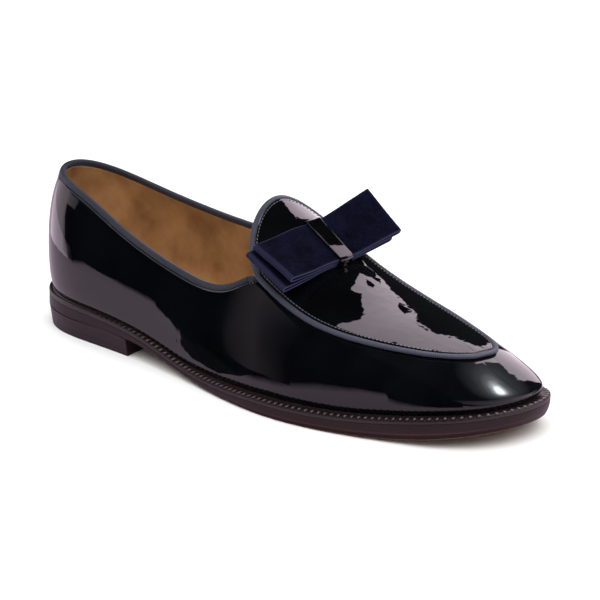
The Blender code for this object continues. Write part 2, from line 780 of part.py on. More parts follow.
def build_band(collection):
    """Band over the middle of the bow, its ends down on the apron."""
    paths = (band_section(0.0), band_section(BAND_THICK))
    loop = paths[0] + paths[1][::-1]
    count = len(loop)
    points = []
    for s in (-BAND_HALF, BAND_HALF):
        points += [bow_point(s, v, w) for v, w in loop]
    faces = band_faces(0, count, count)
    half = count // 2
    for i in range(half - 1):
        face = (i, i + 1, count - 2 - i, count - 1 - i)
        faces.append(face[::-1])
        faces.append(tuple(count + k for k in face))
    return add_object("bow_band", make_mesh("bow_band", points, faces), collection)


def main():
    for item in list(bpy.data.objects):
        bpy.data.objects.remove(item, do_unlink=True)
    collection = bpy.data.collections.new(SHOE)
    bpy.context.scene.collection.children.link(collection)
    build_outsole(collection)
    build_heel(collection)
    build_welt(collection)
    build_insole(collection)
    build_upper(collection)
    build_apron(collection)
    build_apron_binding(collection)
    build_collar_binding(collection)
    for tier in TIERS:
        build_tier(tier, collection)
    build_band(collection)


if __name__ == "__main__":
    main()
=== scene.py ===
"""Looks of a patent leather loafer for the right foot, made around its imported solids.

Sizes are in millimetres from the back of the last's heel, as in the part's source: x runs to the toe, y to
the inner (medial) side of the foot and z up from the floor. Pieces become metres in the frame when made.
"""
import math

import bmesh
import bpy
import numpy as np
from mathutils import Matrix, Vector, noise

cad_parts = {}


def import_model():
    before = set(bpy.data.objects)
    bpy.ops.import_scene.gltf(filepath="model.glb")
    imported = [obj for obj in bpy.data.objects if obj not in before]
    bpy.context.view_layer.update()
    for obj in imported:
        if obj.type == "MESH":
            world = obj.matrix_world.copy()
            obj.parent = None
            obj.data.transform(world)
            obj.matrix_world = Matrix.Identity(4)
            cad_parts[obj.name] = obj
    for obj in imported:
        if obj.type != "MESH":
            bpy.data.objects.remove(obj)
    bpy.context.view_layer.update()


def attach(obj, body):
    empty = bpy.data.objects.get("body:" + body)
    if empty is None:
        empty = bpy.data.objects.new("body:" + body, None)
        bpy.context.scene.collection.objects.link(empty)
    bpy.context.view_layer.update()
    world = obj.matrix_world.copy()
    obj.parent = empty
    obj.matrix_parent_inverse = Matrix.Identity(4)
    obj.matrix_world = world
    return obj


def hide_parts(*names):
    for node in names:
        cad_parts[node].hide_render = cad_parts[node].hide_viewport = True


MM = 0.001
CLEARANCE = 0.3
SIDES = ("lateral", "medial")


def table(columns, *rows):
    """Rows of a table with named columns."""
    return [dict(zip(columns, row)) for row in rows]


# Camera: the photograph's direction and distance, closer in on the one shoe
AZIMUTH, ELEVATION, DISTANCE = 44.2, 17.5, 3703.0
PHOTO_FOCAL, ZOOM = 6245.0, 1.3
IMAGE_SIZE, SENSOR, CLIP_END = 600.0, 36.0, 200.0
AIM = (151.2, 0.0, 37.3)

# Outline of the last where the upper meets the welt
OUTLINE = table(
    ("place", "x", "y"),
    ("heel back", 0, 0),
    ("heel lateral", 13, -21),
    ("seat lateral", 46, -29.5),
    ("waist lateral", 112, -37),
    ("ball lateral", 186, -47),
    ("toe lateral", 247, -34),
    ("tip lateral", 280.8, -13),
    ("toe tip", 284.6, 7),
    ("tip medial", 278.8, 22),
    ("toe medial", 250, 35.5),
    ("ball medial", 203, 42),
    ("waist medial", 118, 24),
    ("seat medial", 46, 28),
    ("heel medial", 13, 20.5))

# Heights along the shoe: feather is where upper meets welt, edge the lower rim of the sole's side,
# bottom the underside between the bevels (below 0 means flat on the floor), bevel how far it lies in
PROFILE = table(
    ("x", "feather", "edge", "bottom", "bevel"),
    (0, 17.0, 9.8, 9.5, 0.5),
    (40, 16.2, 9.1, 8.8, 0.5),
    (70, 14.4, 8.9, 8.5, 0.6),
    (90, 11.6, 7.2, 5.4, 4.0),
    (110, 7.9, 4.1, 2.0, 6.0),
    (130, 6.5, 1.8, 0.3, 5.0),
    (150, 6.7, 1.0, -0.3, 3.0),
    (168, 7.4, 0.7, -0.5, 1.4),
    (190, 8.0, 0.7, -0.5, 1.0),
    (225, 9.4, 1.4, 0.6, 1.0),
    (250, 12.0, 2.9, 2.1, 1.0),
    (270, 14.8, 5.6, 4.8, 1.0),
    (296, 18.6, 10.4, 9.6, 1.0))

# Cross sections of the last: ridge height, y of the ridge, roundness of each side, height of the widest
# place over the feather and how far it stands out
SECTIONS = table(
    ("x", "ridge", "spine", "round_lateral", "round_medial", "belly", "out_lateral", "out_medial"),
    (0, 84, 0, 2.8, 2.8, 21, 2.7, 2.7),
    (36, 84, 0, 1.6, 1.9, 19, 3.5, 3.5),
    (85, 86, -3, 1.5, 1.9, 17, 2.5, 5.0),
    (115, 88, -4, 1.6, 1.9, 17, 2.0, 7.0),
    (141, 83, -4, 1.9, 2.0, 17, 2.0, 6.0),
    (165, 69, -4, 2.1, 2.0, 16, 2.0, 5.0),
    (190, 55.6, -3, 2.1, 2.0, 15, 2.0, 4.0),
    (225, 44.6, 0, 2.2, 2.0, 12, 1.5, 2.5),
    (260, 33.6, 4, 2.2, 1.9, 7, 1.5, 2.0),
    (275, 28.2, 5, 2.1, 1.95, 4.2, 1.8, 2.0),
    (290, 24.5, 5.5, 2.05, 2.05, 3.4, 2.0, 2.0))

# The ridge stops short of heel and toe, where the walls fan out around its ends
HEEL_RIDGE_END, HEEL_KNEE = 24.0, 96.0
TOE_RIDGE_END, TOE_KNEE = 248.0, 148.0

# How far the sole stands out past the feather
REACH = table(
    ("x", "lateral", "medial"),
    (0, 2.9, 2.9),
    (60, 2.2, 2.0),
    (110, 3.0, 1.5),
    (160, 5.0, 3.5),
    (200, 5.5, 5.0),
    (250, 5.5, 5.5),
    (290, 5.5, 5.5))

# Height of the topline
COLLAR = table(
    ("x", "lateral", "medial"),
    (0, 74, 74),
    (20, 71.5, 66),
    (50, 62.2, 61),
    (85, 54, 58.5),
    (112, 50, 57),
    (135, 50.5, 54.5),
    (148, 54.4, 56),
    (158, 60.4, 60))

# Edge of the apron, as a part of the way from the ridge to the widest place
APRON = table(
    ("x", "lateral", "medial"),
    (140, 0.69, 0.46),
    (165, 0.71, 0.445),
    (195, 0.72, 0.445),
    (210, 0.71, 0.45),
    (225, 0.68, 0.465),
    (242, 0.605, 0.50),
    (257, 0.485, 0.54),
    (272, 0.335, 0.43),
    (282, 0.26, 0.285),
    (285, 0.25, 0.25))

# Stations of the fine surface: close together at the heel, the throat and the toe
HEEL_RUN, HEEL_STEPS, QUARTER_STEPS = 60.0, 44, 54
THROAT_START, THROAT_END, THROAT_STEPS = 140.0, 168.0, 34
THROAT_CURVE_START = 156.0
TOE_STEPS, TOE_EASE = 96, 2.0
SHOULDER = 0.72
LOW_ROWS, HIGH_ROWS = 40, 18
TUCK_POINTS, RISE_POINTS, OUTLINE_POINTS = 40, 120, 24000
HALVINGS = 40
SMALL_PART, JOIN_DISTANCE, THIN_DISTANCE = 0.01, 0.01, 0.001

# Upper: its wall, thinner close to the throat's rim
WALL = 1.8
THROAT_THIN, THROAT_SHARE, THROAT_SAMPLES = 153.0, 0.1, 40
THROAT_SOFT, LEAST_THIN = (3.0, 8.0), 0.01

# Welt: its section by share of the reach, distance in or out, height over the feather, and share of the
# ridges' rise and of their painted highlight
WELT_THICK, WELT_INSET, WELT_SPACING = 2.6, 2.4, 0.4
WHEEL_PITCH, WHEEL_HEIGHT, WHEEL_SHARPNESS, TICK_FADE = 3.4, 0.55, 1.7, (30.0, 95.0)
WELT_SECTION = table(
    ("share", "in_out", "height", "ridge"),
    (0, -WELT_INSET, -WELT_THICK, 0), (0.5, 0, -WELT_THICK, 0), (1, -0.25, -WELT_THICK, 0),
    (1, 0, -WELT_THICK + 0.25, 0), (1, 0.05, -1.6, 0), (1, 0.05, -1.0, 0.2), (1, -0.05, -0.5, 0.6),
    (1, -0.3, -0.15, 1), (1, -0.7, 0, 1), (1, -1.2, 0.02, 1), (1, -1.8, 0, 0.9), (1, -2.4, -0.1, 0.3),
    (0, 1.3, -0.3, 0), (0, 0.6, -0.05, 0), (0, 0.2, 0.22, 0), (0, -WELT_INSET, 0.22, 0))

# Outsole: loops under it by share of the bevel inward and down, then loops up its side by share of the height
SOLE_STEP, EDGE_STEP, HEEL_GAP = 0.05, 0.1, 0.02
TOE_ROUND, TOE_ROUND_RUN = 2.2, (255.0, 288.0)
HEEL_FADE, HEEL_LEVEL, SOLE_SHARP = (64.0, 80.0), 0.6, 50
SOLE_UNDER = table(
    ("inward", "down", "inset", "under"),
    (1.6, 1, 0, 1), (1.15, 1, 0, 1), (0.95, 0.98, 0, 1), (0.6, 0.82, 0, 1), (0.35, 0.6, 0, 0.5),
    (0.15, 0.3, 0, 0.1), (0.04, 0.08, 0.02, 0))
SOLE_SIDE = table(
    ("share", "inset"),
    (0.06, 0), (0.2, -0.06), (0.27, 0.0), (0.34, -0.06), (0.6, -0.08), (0.9, -0.06), (1.0, -0.05))

# Insole: loops by share of its thickness and inset
INSOLE_INSET, INSOLE_THICK, INSOLE_SHARP = 2.8, 3.0, 60
INSOLE_RINGS = table(("share", "inset"), (0, 0), (0.7, -0.4), (0.97, -0.5), (1.0, 0.2), (0.96, 3.0))

# Heel block
HEEL_BREAST, HEEL_LAST_STEP, HEEL_TAPER, HEEL_COLUMNS = 72.0, 1.0, 1.4, 30
HEEL_HOLLOW, HEEL_HOLLOW_POWER = 4.0, 4
HEEL_BEVEL, HEEL_BEVEL_STEPS, HEEL_SHARP = 0.2, 3, 50

# Tongue and apron
TONGUE_END, TONGUE_ROUND, TONGUE_STEPS, TONGUE_EASE = 141.5, 22.0, 50, 1.8
APRON_THICK, APRON_COLUMNS = 1.3, 24

# Bindings and their stitches
APRON_BEAD_WIDE, APRON_BEAD_HIGH, APRON_BEAD_GAP = 2.5, 1.8, 0.3
COLLAR_BEAD_WIDE, COLLAR_BEAD_HIGH = 2.5, 2.5
COLLAR_DROP, COLLAR_WRAP, COLLAR_TUCK, COLLAR_LEAN_PART = 3.2, 0.6, 5.4, 0.02
COLLAR_FRONT = {"lateral": 162.0, "medial": 160.0}
BEAD_SIDES, BEAD_SQUARENESS = 16, 0.75
RIB_PITCH, RIB_DEPTH, RIB_SAMPLES = 0.9, 0.07, 4
STITCH_RADIUS, STITCH_SIDES, STITCH_RINGS, STITCH_FINE = 0.18, 6, 5, 12
STITCH_LIFT, STITCH_SINK, STITCH_END = 1.5, 0.9, 0.55
APRON_STITCH_PITCH, APRON_STITCH_LENGTH, APRON_STITCH_IN = 1.9, 1.3, 0.9
COLLAR_STITCH_PITCH, COLLAR_STITCH_LENGTH, COLLAR_STITCH_DOWN = 1.7, 1.1, 0.75

# Bow: two flat ribbon loops on each side, one tier over the other, held by a band
BOW_CENTRE = (171.3, -4.2, 67.4)
BOW_SLOPE, BOW_TWIST = 31.2, 0.12
RIBBON_THICK, RIBBON_PINCH, RIBBON_GROWTH = 0.9, 1.0, 0.015
RIBBON_HALF, RIBBON_FLARE = 12.1, 0.03
RIBBON_STEPS, FOLD_STEPS, RIBBON_COLUMNS, EDGE_STEPS = 90, 16, 28, 4

# Height of the bow's line over its middle, along it to the medial side
BOW_LINE = table(
    ("s", "rise"), (-38, -3.2), (-22, -1.4), (-9, 0.3), (0, 0.6), (9, 1.65), (22, 4.35), (36, 7.2))
TIERS = table(
    ("name", "level", "lateral_end", "medial_end", "slot"),
    ("bow_lower", -1, -38.0, 31.0, "velvet_lower"),
    ("bow_upper", 1, -35.2, 34.8, "velvet_upper"))

# The ribbon's gathers beside the band, the upper tier's lift at its lateral end, soft waves, and edges
# painted paler as a painted sheen
GATHER_DEPTH, GATHER_RUN, GATHER_TURN, GATHER_SHIFT = 0.22, 7.0, 3.2 * math.pi, 0.6
TIER_LIFT, LIFT_RUN, LIFT_ACROSS = 1.3, (20.0, 37.0), (-1.2, 1.0)
LONG_WAVE, LONG_HEIGHT, LONG_SHIFT = 17.0, 0.35, 5.0
SHORT_WAVE, SHORT_HEIGHT, SHORT_SHIFT = 7.0, 0.12, 9.0
WAVE_FADE, WAVE_WAY = 8.0, (0.45, 0.0, 0.85)
EDGE_SHEEN_RUN, FOLD_RUN, FOLD_SHEEN_SHARE = (0.955, 1.0), (2.2, 0.3), 0.3

# Band over the bow's middle
BAND_HALF, BAND_THICK, BAND_CROWN = 4.2, 0.9, 0.25
BAND_CORNER, BAND_FOOT, BAND_EASE = 1.15, 0.3, 0.2
BAND_POINTS, CORNER_POINTS, BAND_COLUMNS = 90, 9, 20

# Softness of the leather: slow waves, weaker on the quarters, and the main creases at listed places
WAVES = table(("length", "height", "shift"), (26.0, 0.16, 3.0), (11.0, 0.05, 17.0))
QUARTER_SHARE, QUARTER_RUN = 0.25, (130, 200)
CREASES = table(
    ("place", "start", "end", "depth", "wide"),
    ("below the collar", (150, -44, 40), (172, -50, 18), 0.25, 8.0),
    ("beside the bow", (196, -36, 46), (204, -20, 52), 0.20, 7.0),
    ("before the bow", (212, -30, 44), (216, 6, 48), 0.12, 9.0),
    ("inner flex", (168, 36, 34), (196, 38, 22), 0.25, 8.0))

# Materials: linear colours, and depths of the lacquer's waves and ripples in millimetres
PATENTS = table(
    ("name", "dark", "light", "wave", "ripples"),
    ("navy_patent", (0.0012, 0.0013, 0.0018), (0.0022, 0.0025, 0.0036), 0.10, 0.03),
    ("apron_patent", (0.0012, 0.0013, 0.0016), (0.0022, 0.0024, 0.0030), 0.16, 0.12),
    ("band_patent", (0.0012, 0.0012, 0.0014), (0.0022, 0.0022, 0.0026), 0.06, 0.03))
# Grosgrain colours run from dark in the ribs' grooves, painted shade, to light on their crests, painted
# highlight
RIBBONS = table(
    ("name", "dark", "light"),
    ("slate_grosgrain", (0.014, 0.016, 0.026), (0.062, 0.066, 0.100)),
    ("navy_grosgrain", (0.006, 0.007, 0.012), (0.026, 0.029, 0.048)))
THREADS = table(
    ("name", "dark", "light"),
    ("pale_thread", (0.10, 0.10, 0.12), (0.22, 0.22, 0.25)),
    ("slate_thread", (0.06, 0.065, 0.08), (0.14, 0.15, 0.18)))
LINING_DARK, LINING_LIGHT = (0.20, 0.088, 0.030), (0.46, 0.25, 0.105)
VELVET_DARK, VELVET_LIGHT = (0.0004, 0.0005, 0.0024), (0.0026, 0.0030, 0.0115)
# Velvet edge colour: a painted sheen along the ribbon's cut and folded edges
VELVET_EDGE_SHEEN, VELVET_SHEEN = (0.042, 0.043, 0.090), (0.55, 0.6, 0.95, 1.0)
# Welt colours by the ridges' mark: plain dyed leather at 0, painted shade on the ridges' flanks, painted
# highlight on their tops
WELT_HIGHLIGHT_AND_SHADE = [(0.02, (0.014, 0.008, 0.009)), (0.12, (0.004, 0.003, 0.003)), (0.45, (0.008, 0.005, 0.006)),
                (0.95, (0.12, 0.085, 0.085))]
SOLE_UNDERSIDE = [(0.3, (0.13, 0.065, 0.035)), (0.7, (0.22, 0.115, 0.062))]
SOLE_EDGE = [(0.0, (0.010, 0.002, 0.003)), (0.22, (0.018, 0.003, 0.005)), (0.30, (0.040, 0.018, 0.021)),
             (0.38, (0.019, 0.008, 0.010)), (0.9, (0.016, 0.008, 0.009))]
HEEL_COLOURS = [(0.1, (0.015, 0.009, 0.011)), (0.9, (0.019, 0.010, 0.013))]

# Stage: the floor, and the part of it that the lacquer mirrors: a darker, lilac copy of the floor seen only
# in reflections, a painted reflection colour
FLOOR_RADIUS, FLOOR_SIDES, FLOOR_SHADE, MIRROR_LIFT = 40000.0, 72, 0.99, 0.1
PALE, PALE_LILAC, LILAC = (0.9, 0.9, 0.9), (0.50, 0.39, 0.48), (1.0, 0.85, 0.96)
MIRROR_FLOOR = ((1000, 900), (-900, 900), (-900, -900), (63.5, -900), (63.5, -62), (70, -57.5), (82, -52),
                (98, -48.5), (122, -49.5), (133, -60), (133, -900), (1000, -900))

# Suns that light everything and show in no reflection: direction, strength, angle across
WORLD_COLOUR = (0.02, 0.02, 0.022, 1.0)
SUNS = table(
    ("name", "direction", "strength", "angle"),
    ("top_sun", (0.1, 0.1, 1.0), 4.8, 120.0),
    ("front_sun", (0.7, -0.9, 0.8), 1.2, 80.0))

# Softboxes that the lacquer mirrors: centre, the way they face, width, height, radiance against a white floor
SOFTBOXES = table(
    ("name", "centre", "facing", "wide", "tall", "radiance"),
    ("tongue", (116, 68, 114), (0, -1, 0), 64, 108, 3.5),
    ("heel_side", (-150, -57, 110), (1, 0, 0), 160, 220, 1.3))

# Light over the toe's tip: a disc that fades toward its rim
TOE_LIGHT, TOE_LIGHT_FACING, TOE_LIGHT_COLOUR = (272, 18, 53), (0.215, -0.61, -0.76), (0.9, 0.95, 1.0)
TOE_LIGHT_RADIUS, TOE_LIGHT_RADIANCE = 24.0, 14.0
TOE_LIGHT_FADE = table(
    ("radius", "glow"), (0, 1.0), (2.5, 1.0), (4, 0.35), (6, 0.11), (9, 0.045), (14, 0.02), (24, 0.0))

# Flat panels that only show as reflections: each lies across one axis, its corners are given along the other
# two, glow is the share of the radiance at each corner, and a radiance of 0 makes a black card
EVEN = None
PANELS = table(
    ("name", "axis", "level", "corners", "glow", "radiance"),
    ("tongue_card", "z", 110, ((120, -45), (172, -45), (172, 22), (120, 22)), EVEN, 0.0),
    ("band_card", "y", 20, ((153, 86), (178, 86), (178, 125), (153, 125)), EVEN, 0.0),
    ("bow_card", "z", 66, ((170, 24), (178, 22), (180, 20), (188, 4), (192, -5), (194, -3), (195, 0),
                           (201, -8), (205, -15), (203, -22), (200, -30), (204, -50), (170, -50)), EVEN, 0.0),
    ("first_hole", "z", 66, ((188, 12), (190, 9), (192, 9), (193, 11), (191, 15), (189, 15)), EVEN, 0.0),
    ("second_hole", "z", 66, ((203, 17), (208, 16), (207, 24), (202, 25), (201, 21)), EVEN, 0.0),
    ("third_hole", "z", 66, ((218, 15), (220, 14), (224, 16), (224, 17)), EVEN, 0.0),
    ("apron_side", "y", 68, ((156, 87), (165, 87), (175, 93), (181, 99), (189, 118), (202, 121), (217, 92),
                             (237, 69), (246, 69), (246, 110), (215, 150), (190, 240), (100, 240),
                             (150, 168)), EVEN, 2.9),
    ("apron_top", "z", 240, ((100, -40), (178, -40), (190, 68), (100, 68)), EVEN, 2.9),
    ("toe_side", "y", 68, ((229, 26), (262, 26), (260, 43), (256, 54), (253, 69), (229, 69)), EVEN, 2.35),
    ("band_glint", "z", 97, ((162, -22), (184, -22), (184, -9), (162, -9)), EVEN, 3.0),
    ("heel_wedge", "x", -150, ((-135, 106), (-262, 172), (-262, 210), (-135, 140)), (1, 0.25, 0.25, 1), 0.95),
    ("vamp_left", "y", -61, ((116, 10), (150, 10), (150, 80), (116, 80)), (0, 0.5, 1, 0), 0.36),
    ("vamp_right", "y", -61, ((150, 10), (182, 10), (182, 80), (150, 80)), (0.5, 0, 0, 1), 0.36),
    ("toe_front", "x", 370, ((-120, 0), (200, 0), (200, 80), (-120, 80)), (0, 1, 1, 0), 2.0),
    ("toe_over", "z", 80, ((286, -120), (370, -120), (370, 200), (286, 200)), (0, 0, 1, 0.4), 2.0))

# Black card along the lateral side, soft at its edges: the side mirrors the floor below the card's low edge
SIDE_CARD_AT, SIDE_CARD_SOFT, SIDE_CARD_FLOOR = -62.0, 5.0, 0.15
SIDE_CARD = table(
    ("x", "low", "top"),
    (-46, 31, 80), (-8, 28, 76), (-4, 30, 84), (0, 32, 160), (12, 37, 160), (27, 37, 160), (35, 32, 160),
    (59, 26, 160), (63.5, 18, 160), (64, -3, 160), (133, -3, 160), (134, 2, 160), (174, 8, 160),
    (200, 13, 160), (224, 15, 160), (238, 14, 160), (239, 9, 160), (243, 6, 160), (268, 0, 160),
    (300, 0, 160))


def column(rows, name):
    """One column of a table as an array."""
    return np.array([row[name] for row in rows], float)


def bends(values, gaps, closed=False):
    """Second derivatives of the cubic curve through values: natural at its ends, or closed."""
    count = len(values)
    matrix = np.zeros((count, count))
    right = np.zeros(values.shape)
    inner = range(count)
    if not closed:
        inner = range(1, count - 1)
        matrix[0, 0] = matrix[-1, -1] = 1.0
    for i in inner:
        after = (i + 1) % count
        matrix[i, i - 1] += gaps[i - 1]
        matrix[i, i] += 2 * (gaps[i - 1] + gaps[i])
        matrix[i, after] += gaps[i]
        right[i] = 6 * ((values[after] - values[i]) / gaps[i] - (values[i] - values[i - 1]) / gaps[i - 1])
    return np.linalg.solve(matrix, right)


def cubic(start, end, start_bend, end_bend, after, wide):
    """Values on one stretch of such a curve, at distances after its start."""
    before = wide - after
    curved = (start_bend * before ** 3 + end_bend * after ** 3) / (6 * wide)
    from_start = (start / wide - start_bend * wide / 6) * before
    return curved + from_start + (end / wide - end_bend * wide / 6) * after


def spline(rows, name, over="x"):
    """The natural cubic curve through a table's column over its x or another column."""
    xs, ys = column(rows, over), column(rows, name)
    gaps = np.diff(xs)
    bend = bends(ys, gaps)

    def value(x):
        x = np.clip(np.asarray(x, float), xs[0], xs[-1])
        i = np.clip(np.searchsorted(xs, x) - 1, 0, len(gaps) - 1)
        return cubic(ys[i], ys[i + 1], bend[i], bend[i + 1], x - xs[i], gaps[i])

    return value


def closed_curve(points, count):
    """Points along the smooth closed curve through the given ones, about count of them."""
    gaps = np.linalg.norm(np.roll(points, -1, 0) - points, axis=1)
    bend = bends(points, gaps, closed=True)
    runs = []
    for i, wide in enumerate(gaps):
        after = (i + 1) % len(points)
        pieces = max(2, int(round(count * wide / gaps.sum())))
        along = (np.arange(pieces) / pieces)[:, None] * wide
        runs.append(cubic(points[i], points[after], bend[i], bend[after], along, wide))
    return np.concatenate(runs)


def eased(part, slope):
    """A part of the way that starts with the given slope and slows toward 1."""
    return slope * part - (slope - 1) * part ** 3


def smooth_step(value, start, end):
    """0 before start, 1 after end, with a soft change between."""
    part = np.clip((np.asarray(value, float) - start) / (end - start), 0, 1)
    return part * part * (3 - 2 * part)


def unit(vectors):
    """Vectors of length one."""
    return vectors / np.maximum(np.linalg.norm(vectors, axis=-1, keepdims=True), 1e-12)


def both_sides(places):
    """Each side with its places, once around without a place twice."""
    return (("lateral", places), ("medial", places[-2:0:-1]))


def lengths(path, closed=False):
    """The path, closed if asked, and the length along it at each of its points."""
    if closed:
        path = np.concatenate([path, path[:1]])
    steps = np.linalg.norm(np.diff(path[:, :3], axis=0), axis=1)
    return path, np.concatenate([[0.0], np.cumsum(steps)])


def evenly(path, count, closed=False):
    """The same path as count points evenly spaced along it."""
    path, length = lengths(path, closed)
    even = np.linspace(0, length[-1], count, endpoint=not closed)
    return np.stack([np.interp(even, length, values) for values in path.T], 1)


def path_length(path, closed=False):
    """Length of a path of points."""
    return lengths(path, closed)[1][-1]


class Last:
    """The shape the shoe is made over, as functions of the place along its length and the side."""

    def __init__(self):
        corners = np.stack([column(OUTLINE, "x"), column(OUTLINE, "y")], 1)
        curve = closed_curve(corners, OUTLINE_POINTS)
        along = np.roll(curve, -1, 0) - np.roll(curve, 1, 0)
        outward = unit(np.stack([along[:, 1], -along[:, 0]], 1))
        back = curve[:, 0].argmin()
        curve, outward = np.roll(curve, -back, 0), np.roll(outward, -back, 0)
        tip = curve[:, 0].argmax()
        self.back, self.tip = curve[0, 0], curve[tip, 0]
        medial = [0, *range(len(curve) - 1, tip - 1, -1)]
        self.halves = {
            "lateral": (curve[:tip + 1], outward[:tip + 1]),
            "medial": (curve[medial], outward[medial])}
        self.ridge, self.spine, self.belly = (spline(SECTIONS, name) for name in ("ridge", "spine", "belly"))
        self.feather, self.edge, self.underside, self.bevel = (
            spline(PROFILE, name) for name in ("feather", "edge", "bottom", "bevel"))
        self.round, self.out = (
            {side: spline(SECTIONS, name + side) for side in SIDES} for name in ("round_", "out_"))
        self.reach, self.collar, self.apron = (
            {side: spline(rows, side) for side in SIDES} for rows in (REACH, COLLAR, APRON))

    def bottom(self, x):
        """Height of the underside: flat on the floor under the ball."""
        return np.maximum(self.underside(x), 0.0)

    def sole_top(self, x):
        """Height of the outsole's upper face, under the welt."""
        return self.feather(x) - WELT_THICK - CLEARANCE

    def foot(self, x, side):
        """Outline points and outward directions at places along one side."""
        points, outward = self.halves[side]
        order = np.maximum.accumulate(points[:, 0])
        plan = np.stack([x, np.interp(x, order, points[:, 1])], -1)
        direction = [np.interp(x, order, outward[:, k]) for k in (0, 1)]
        return plan, unit(np.stack(direction, -1))

    def ridge_place(self, x):
        """Where on the ridge the wall over outline place x ends."""
        heel_span, heel_run = HEEL_KNEE - self.back, HEEL_KNEE - HEEL_RIDGE_END
        toe_span, toe_run = self.tip - TOE_KNEE, TOE_RIDGE_END - TOE_KNEE
        heel_part = np.maximum(HEEL_KNEE - x, 0) / heel_span
        toe_part = np.maximum(x - TOE_KNEE, 0) / toe_span
        heel = HEEL_KNEE - heel_run * eased(heel_part, heel_span / heel_run)
        toe = TOE_KNEE + toe_run * eased(toe_part, toe_span / toe_run)
        place = np.where(x < HEEL_KNEE, heel, np.where(x > TOE_KNEE, toe, x))
        return np.stack([place, self.spine(place)], -1)

    def skin(self, x, side, part):
        """Points on the outer surface: part is 1 at the widest place and 0 on the ridge."""
        x, part = np.broadcast_arrays(np.asarray(x, float), np.asarray(part, float))
        foot, outward = self.foot(x, side)
        top = self.ridge_place(x)
        wide = foot + outward * self.out[side](x)[..., None]
        plan = top + part[..., None] * (wide - top)
        power = self.round[side](x)
        rise = np.maximum(0.0, 1.0 - part ** power) ** (1.0 / power)
        low = self.feather(x) + self.belly(x)
        height = low + (self.ridge(plan[..., 0]) - low) * rise
        return np.concatenate([plan, height[..., None]], -1)

    def skin_normal(self, x, side, part):
        """Outward directions of the surface at such points."""
        step = SMALL_PART
        here, there = np.maximum(x - step, self.back), np.minimum(x + step, self.tip)
        along = self.skin(there, side, part) - self.skin(here, side, part)
        across = self.skin(x, side, part + step) - self.skin(x, side, np.maximum(part - step, 0.0))
        direction = unit(np.cross(along, across))
        return np.where(direction[..., 2:] > 0, direction, -direction)

    def past_throat(self, x):
        """Part of the way from the start of the throat's curve to its end."""
        return np.clip((x - THROAT_CURVE_START) / (THROAT_END - THROAT_CURVE_START), 0, 1)

    def rim_part(self, x, side):
        """Where the wall ends: under the collar's binding, around the throat's curve, or at the ridge."""
        x = np.asarray(x, float)
        beside = np.minimum(x, THROAT_CURVE_START)
        height = self.collar[side](beside) - COLLAR_DROP
        low, high = np.zeros_like(beside), np.ones_like(beside)
        for _ in range(HALVINGS):
            middle = (low + high) / 2
            above = self.skin(beside, side, middle)[..., 2] > height
            low, high = np.where(above, middle, low), np.where(above, high, middle)
        return high * np.sqrt(1 - self.past_throat(x) ** 2)

    def shoulder_part(self, x, side):
        """Where the wall's lower rows end: at the rim beside the opening, at the shoulder in front of it."""
        forward = self.past_throat(x)
        return (1 - forward) * self.rim_part(np.minimum(x, THROAT_CURVE_START), side) + forward * SHOULDER

    def rise_of(self, x, side, start, end):
        """Points on each wall between two parts of the way to the ridge."""
        power = self.round[side](x)[:, None]
        first, last = (np.arccos(np.clip(part, 0, 1)[:, None] ** (power / 2)) for part in (start, end))
        share = np.linspace(0, 1, RISE_POINTS)
        parts = np.abs(np.cos(first + (last - first) * share)) ** (2 / power)
        return self.skin(x[:, None], side, parts)

    def walls(self, x, side):
        """Points up the wall from the feather to the shoulder, then on to the rim or the ridge."""
        foot, outward = self.foot(x, side)
        turn = np.linspace(0, math.pi / 2, TUCK_POINTS, endpoint=False)
        moved = self.out[side](x)[:, None] * np.sin(turn)
        plan = foot[:, None] + outward[:, None] * moved[..., None]
        start, tall = self.feather(x) + CLEARANCE, self.belly(x) - CLEARANCE
        height = start[:, None] + tall[:, None] * (1 - np.cos(turn))
        tuck = np.concatenate([plan, height[..., None]], -1)
        shoulder, rim = self.shoulder_part(x, side), self.rim_part(x, side)
        lower = np.concatenate([tuck, self.rise_of(x, side, np.ones_like(x), shoulder)], 1)
        upper = self.rise_of(x, side, shoulder, rim)
        rows = [np.concatenate([evenly(low, LOW_ROWS + 1), evenly(high, HIGH_ROWS + 1)[1:]])
                for low, high in zip(lower, upper)]
        return np.array(rows)

    def apron_part(self, x, side):
        """Part of the way out to the apron's edge, rounded off at the tongue's end."""
        part = np.minimum(1.0, (x - TONGUE_END) / TONGUE_ROUND)
        return self.apron[side](x) * np.sqrt(np.maximum(0, 1 - (1 - part) ** 2))

    def toe_stations(self):
        """Places from the throat to the tip, closer together toward the tip."""
        left = 1 - np.arange(TOE_STEPS + 1) / TOE_STEPS
        return self.tip - (self.tip - THROAT_END) * left ** TOE_EASE

    def stations(self):
        """Places from heel back to toe tip."""
        heel = self.back + (HEEL_RUN - self.back) * (np.arange(HEEL_STEPS) / HEEL_STEPS) ** 2
        quarter = np.linspace(HEEL_RUN, THROAT_START, QUARTER_STEPS, endpoint=False)
        throat = np.linspace(THROAT_START, THROAT_END, THROAT_STEPS, endpoint=False)
        return np.concatenate([heel, quarter, throat, self.toe_stations()])

    def apron_stations(self):
        """Places from the tongue's end to the toe tip."""
        share = (np.arange(TONGUE_STEPS) / TONGUE_STEPS) ** TONGUE_EASE
        tongue = TONGUE_END + (THROAT_END - TONGUE_END) * share
        return np.concatenate([tongue, self.toe_stations()])


LAST = Last()


def around_sole():
    """Outline points, outward directions, reach and place, once around from the heel's back."""
    runs = []
    for side, x in both_sides(LAST.stations()):
        foot, outward = LAST.foot(x, side)
        runs.append(np.column_stack([foot, outward, LAST.reach[side](x), x]))
    return np.concatenate(runs)


ROUND = around_sole()
ROUND_REACH, ROUND_PLACE = ROUND[:, 4], ROUND[:, 5]


